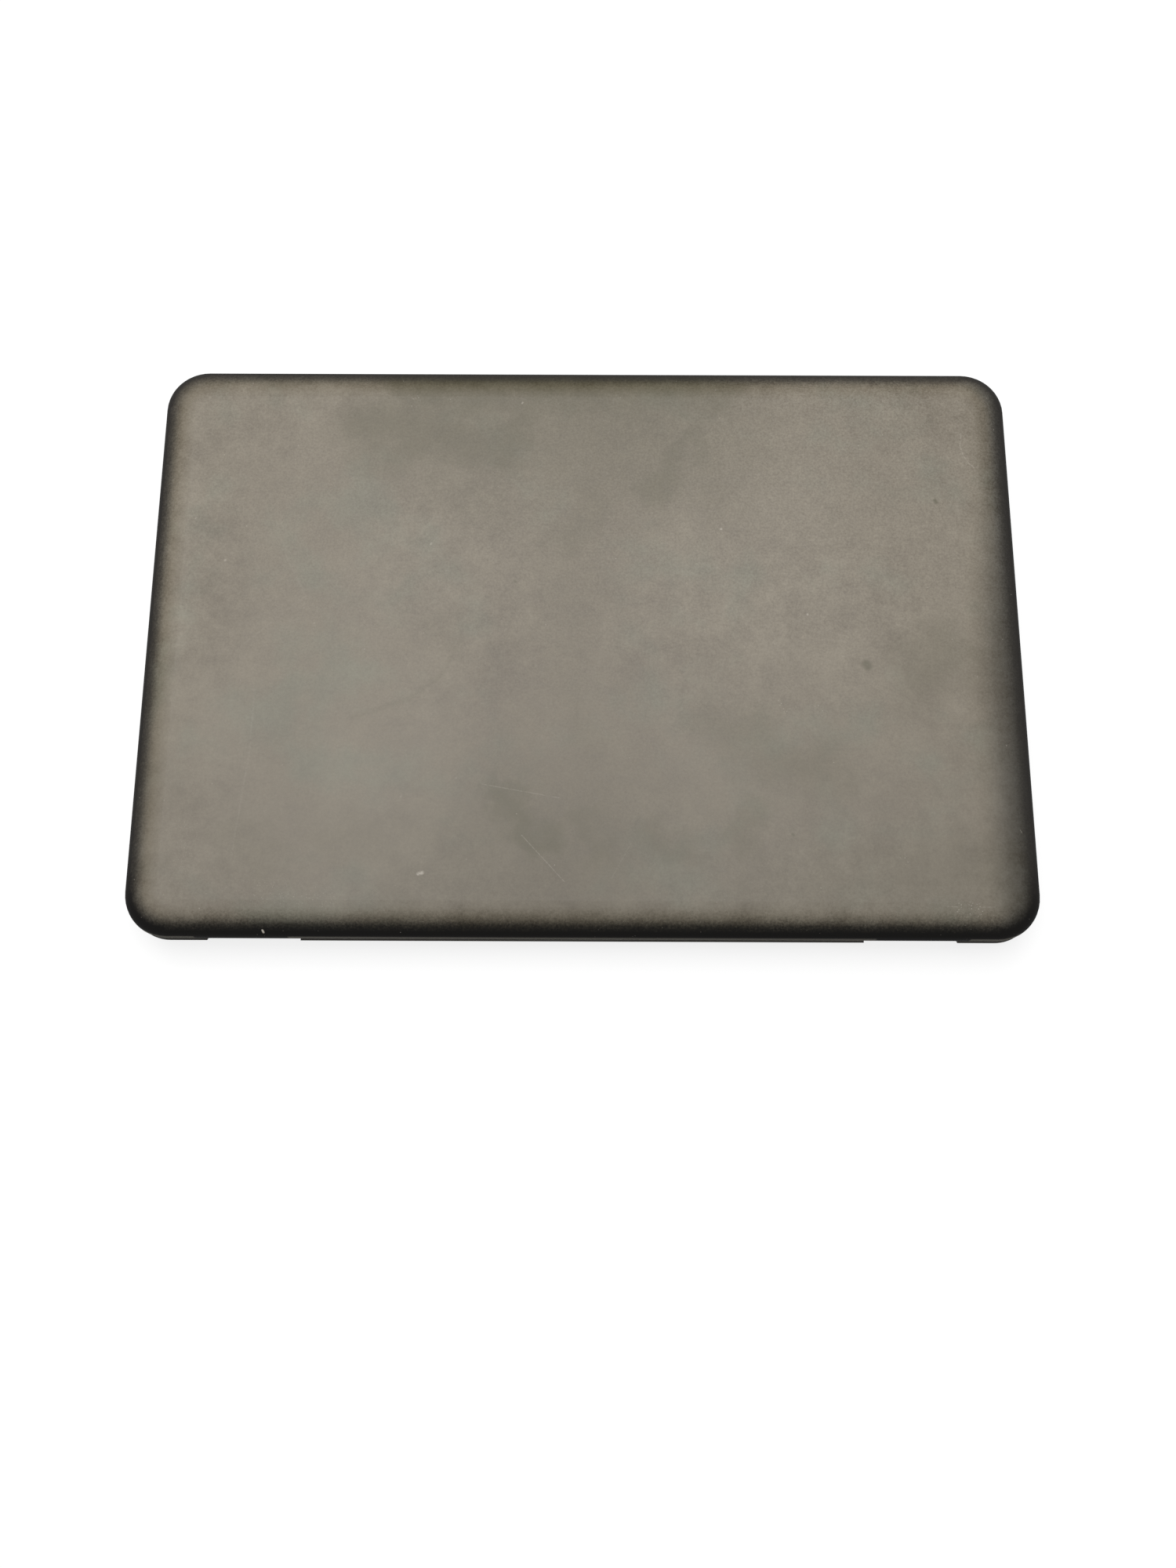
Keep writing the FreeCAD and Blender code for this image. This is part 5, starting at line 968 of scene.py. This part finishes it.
BOTH, BELOW = (-1, 1), (-1,)  # faces of the tongue that carry contacts
CONTACTS = {"usb_c_port": (6, BOTH), "hdmi_port": (9, BOTH), "usb_port_left": (4, BELOW),
            "usb_port_right": (4, BELOW)}
SKIN, RAISED = 0.05 * MM, 0.09 * MM  # sleeve over the tongue, contact over the sleeve
TIP, ROOT, BACK = 1.5 * MM, 7.0 * MM, 0.4 * MM  # sleeve's ends from the socket's mouth, contacts from its tip
TONGUE_WIDE, TONGUE_THICK = 0.38, 0.1  # half the tongue, as shares of the socket
SPREAD, BAR_HALF = 0.84, 0.26  # contacts over the sleeve's width, half a bar over the pitch
SLEEVE_BROKEN, BAR_BROKEN = 0.12 * MM, 0.03 * MM
for node, (count, faces) in CONTACTS.items():
    low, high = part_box(node)
    middle, size = (low + high) / 2, high - low
    inward = 1 if middle.x < 0 else -1
    mouth = low.x if inward > 0 else high.x
    tip, root, bar_tip = [mouth + inward * depth for depth in (TIP, ROOT, TIP + BACK)]
    half, thick = TONGUE_WIDE * size.y + SKIN, TONGUE_THICK * size.z + SKIN
    shape = bmesh.new()
    block(shape, (tip, middle.y - half, middle.z - thick),
          (root, middle.y + half, middle.z + thick), SLEEVE_BROKEN)
    pitch = 2 * half * SPREAD / count
    for i in range(count):
        y = middle.y + (i - (count - 1) / 2) * pitch
        for face in faces:
            block(shape, (bar_tip, y - BAR_HALF * pitch, middle.z + face * (thick - SKIN)),
                  (root, y + BAR_HALF * pitch, middle.z + face * (thick + RAISED)), BAR_BROKEN, 1)
    piece_of(shape, node + "_contacts", "base", "jack_plastic", "jack_plastic", "contact_gilt")
print("contacts in", len(CONTACTS), "sockets")

# %% [markdown]
# ## Round the camera
# A moulded ring stands round the camera's lens, with a small light beside it and two slits for the
# microphones. A ring could be a torus pressed flat, but a real one has a step and a chamfer, so it is
# turned as on a lathe: a closed profile is carried round an axis. The light and the slits are small blocks
# let into the bezel.


# %% Camera ring, light and microphones
def turned(shape, middle, profile, steps):
    """A ring: a closed profile of (radius, height) carried round a vertical axis."""
    rounds = []
    for i in range(steps):
        angle = 2 * math.pi * i / steps
        rounds.append([shape.verts.new(Vector(middle) + Vector((r * math.cos(angle), r * math.sin(angle), h)))
                       for r, h in profile])
    for here, there in zip(rounds, rounds[1:] + rounds[:1]):
        for j in range(len(profile)):
            k = (j + 1) % len(profile)
            shape.faces.new((here[j], there[j], there[k], here[k])).smooth = True
    bmesh.ops.recalc_face_normals(shape, faces=shape.faces[:])


low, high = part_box("webcam_lens")
eye = (low + high) / 2
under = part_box("lid_bezel")[0].z  # the bezel's face, which looks down while the lid is closed
EYE, RIM, PROUD, RING_STEPS = 2.7 * MM, 3.5 * MM, 0.14 * MM, 64
LET_IN = 0.3 * MM  # how deep the light and the slits go into the bezel
LIGHT_X, LIGHT_WIDE, LIGHT_DEEP, LIGHT_PROUD = 7.2 * MM, 1.4 * MM, 1.0 * MM, 0.05 * MM
SLIT_X, SLIT_WIDE, SLIT_DEEP, SLIT_PROUD = 24 * MM, 4.4 * MM, 0.7 * MM, 0.04 * MM
LIGHT_BROKEN, SLIT_BROKEN = 0.04 * MM, 0.03 * MM
shape = bmesh.new()
turned(shape, (eye.x, eye.y, under), [(EYE, 0), (EYE, -0.6 * PROUD), (EYE + 0.2 * MM, -PROUD),
                                      (RIM - 0.25 * MM, -PROUD), (RIM, -0.4 * PROUD), (RIM, 0)], RING_STEPS)
piece_of(shape, "camera_ring", "lid", "bezel_plastic", "jack_plastic")
shape = bmesh.new()
light = eye.x + LIGHT_X
block(shape, (light, eye.y - LIGHT_DEEP / 2, under - LIGHT_PROUD),
      (light + LIGHT_WIDE, eye.y + LIGHT_DEEP / 2, under + LET_IN), LIGHT_BROKEN)
piece_of(shape, "camera_light", "lid", "light_pipe", "light_pipe")
shape = bmesh.new()
for slit in (eye.x - SLIT_X, eye.x + SLIT_X):
    block(shape, (slit - SLIT_WIDE / 2, eye.y - SLIT_DEEP / 2, under - SLIT_PROUD),
          (slit + SLIT_WIDE / 2, eye.y + SLIT_DEEP / 2, under + LET_IN), SLIT_BROKEN)
piece_of(shape, "microphone_slits", "lid", "rubber", "lens_glass")
print("camera's lens at", in_mm(eye))

# %% [markdown]
# ## Screws under the base
# Eight screws hold the bottom cover. A plain turned head would do from afar, and cutting a cross out of it
# with a Boolean often leaves ragged faces. So each screw is built face by face: the outside is a profile
# carried round, and the face of the head is made in four quarters round the mouth of the cross, which
# tapers to its root.

# %% Screws with a cross recess
HEAD_TALL, SHANK, CHAMFER = 1.3 * MM, 1.2 * MM, 0.3 * MM
ARM, ARM_HALF, CROSS_DEEP, TAPER = 1.45 * MM, 0.3 * MM, 0.7 * MM, 0.8
QUARTER = 12  # steps in a quarter of the head


def ring_at(shape, middle, radius, z):
    angles = [2 * math.pi * i / (4 * QUARTER) for i in range(4 * QUARTER)]
    spots = [(middle.x + radius * math.cos(a), middle.y + radius * math.sin(a), z) for a in angles]
    return [shape.verts.new(spot) for spot in spots]


def joined(shape, here, there):
    """A band of faces between two loops of as many points."""
    band = zip(here, here[1:] + here[:1], there[1:] + there[:1], there)
    return [shape.faces.new(corners) for corners in band]


def cross_screw(shape, low, high):
    """A screw that points up, in the box from low to high."""
    middle, head = (low + high) / 2, (high.x - low.x) / 2
    shoulder, deep = low.z + HEAD_TALL, low.z + CROSS_DEEP
    profile = [(head - CHAMFER, low.z), (head, low.z + CHAMFER), (head, shoulder), (SHANK, shoulder),
               (SHANK, high.z - CHAMFER), (SHANK - CHAMFER, high.z)]
    rings = [ring_at(shape, middle, radius, z) for radius, z in profile]
    for here, there in zip(rings, rings[1:]):
        for face in joined(shape, here, there):
            face.smooth = True
    shape.faces.new(rings[-1])
    quarter = [(ARM, 0), (ARM, ARM_HALF), (ARM_HALF, ARM_HALF), (ARM_HALF, ARM)]
    spots = [Matrix.Rotation(math.pi / 2 * i, 2) @ Vector(spot) for i in range(4) for spot in quarter]
    mouth = [shape.verts.new((middle.x + s.x, middle.y + s.y, low.z)) for s in spots]
    root = [shape.verts.new((middle.x + TAPER * s.x, middle.y + TAPER * s.y, deep)) for s in spots]
    joined(shape, mouth, root)
    shape.faces.new(root)
    for i in range(4):
        rim = [rings[0][(QUARTER * i + j) % len(rings[0])] for j in range(QUARTER + 1)]
        cross = [mouth[(len(quarter) * i + j) % len(mouth)] for j in range(len(quarter) + 1)]
        shape.faces.new(rim + cross[::-1])


shape = bmesh.new()
heads = caps_of("bottom_screws")
for low, high in heads:
    cross_screw(shape, low, high)
bmesh.ops.recalc_face_normals(shape, faces=shape.faces[:])
screws = piece_of(shape, "cross_screws", "base", "screw_steel", "screw_steel")
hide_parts("bottom_screws")
print("screws", len(heads))

# %% [markdown]
# ## Bumps on two keys
# Typists find the home row by two small bars that can be felt on the caps. Print would show them but not
# stand up. They are moulded with the caps, so here they are blocks that sink a little into them, take the
# key's own plastic and travel with that row.

# %% Home bumps
BUMP_WIDE, BUMP_DEEP, BUMP_TALL, BUMP_FOOT = 3.4 * MM, 0.5 * MM, 0.16 * MM, 2.2 * MM
BUMP_BROKEN, BUMP_KEYS = 0.1 * MM, "FJ"
shape = bmesh.new()
caps = caps_of("home_letter_keys")
for text in BUMP_KEYS:
    low, high = caps[LEGENDS["home_letter_keys"].index(text)]
    x, y = (low.x + high.x) / 2, low.y + BUMP_FOOT
    block(shape, (x - BUMP_WIDE / 2, y, high.z - BUMP_TALL),
          (x + BUMP_WIDE / 2, y + BUMP_DEEP, high.z + BUMP_TALL), BUMP_BROKEN)
piece_of(shape, "home_bumps", "home_letter_keys", "key_plastic", "key_plastic")
print("bumps on", " and ".join(BUMP_KEYS))

# %% [markdown]
# ## Measure and finish
# A finish adds no size, and the print and trim sit inside the laptop's outline. So the box of all pieces that
# show is measured again and printed, and it should equal the first one.

# %% Measure and finish
visual_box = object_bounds()
print("visual box in mm:", in_mm(*visual_box))
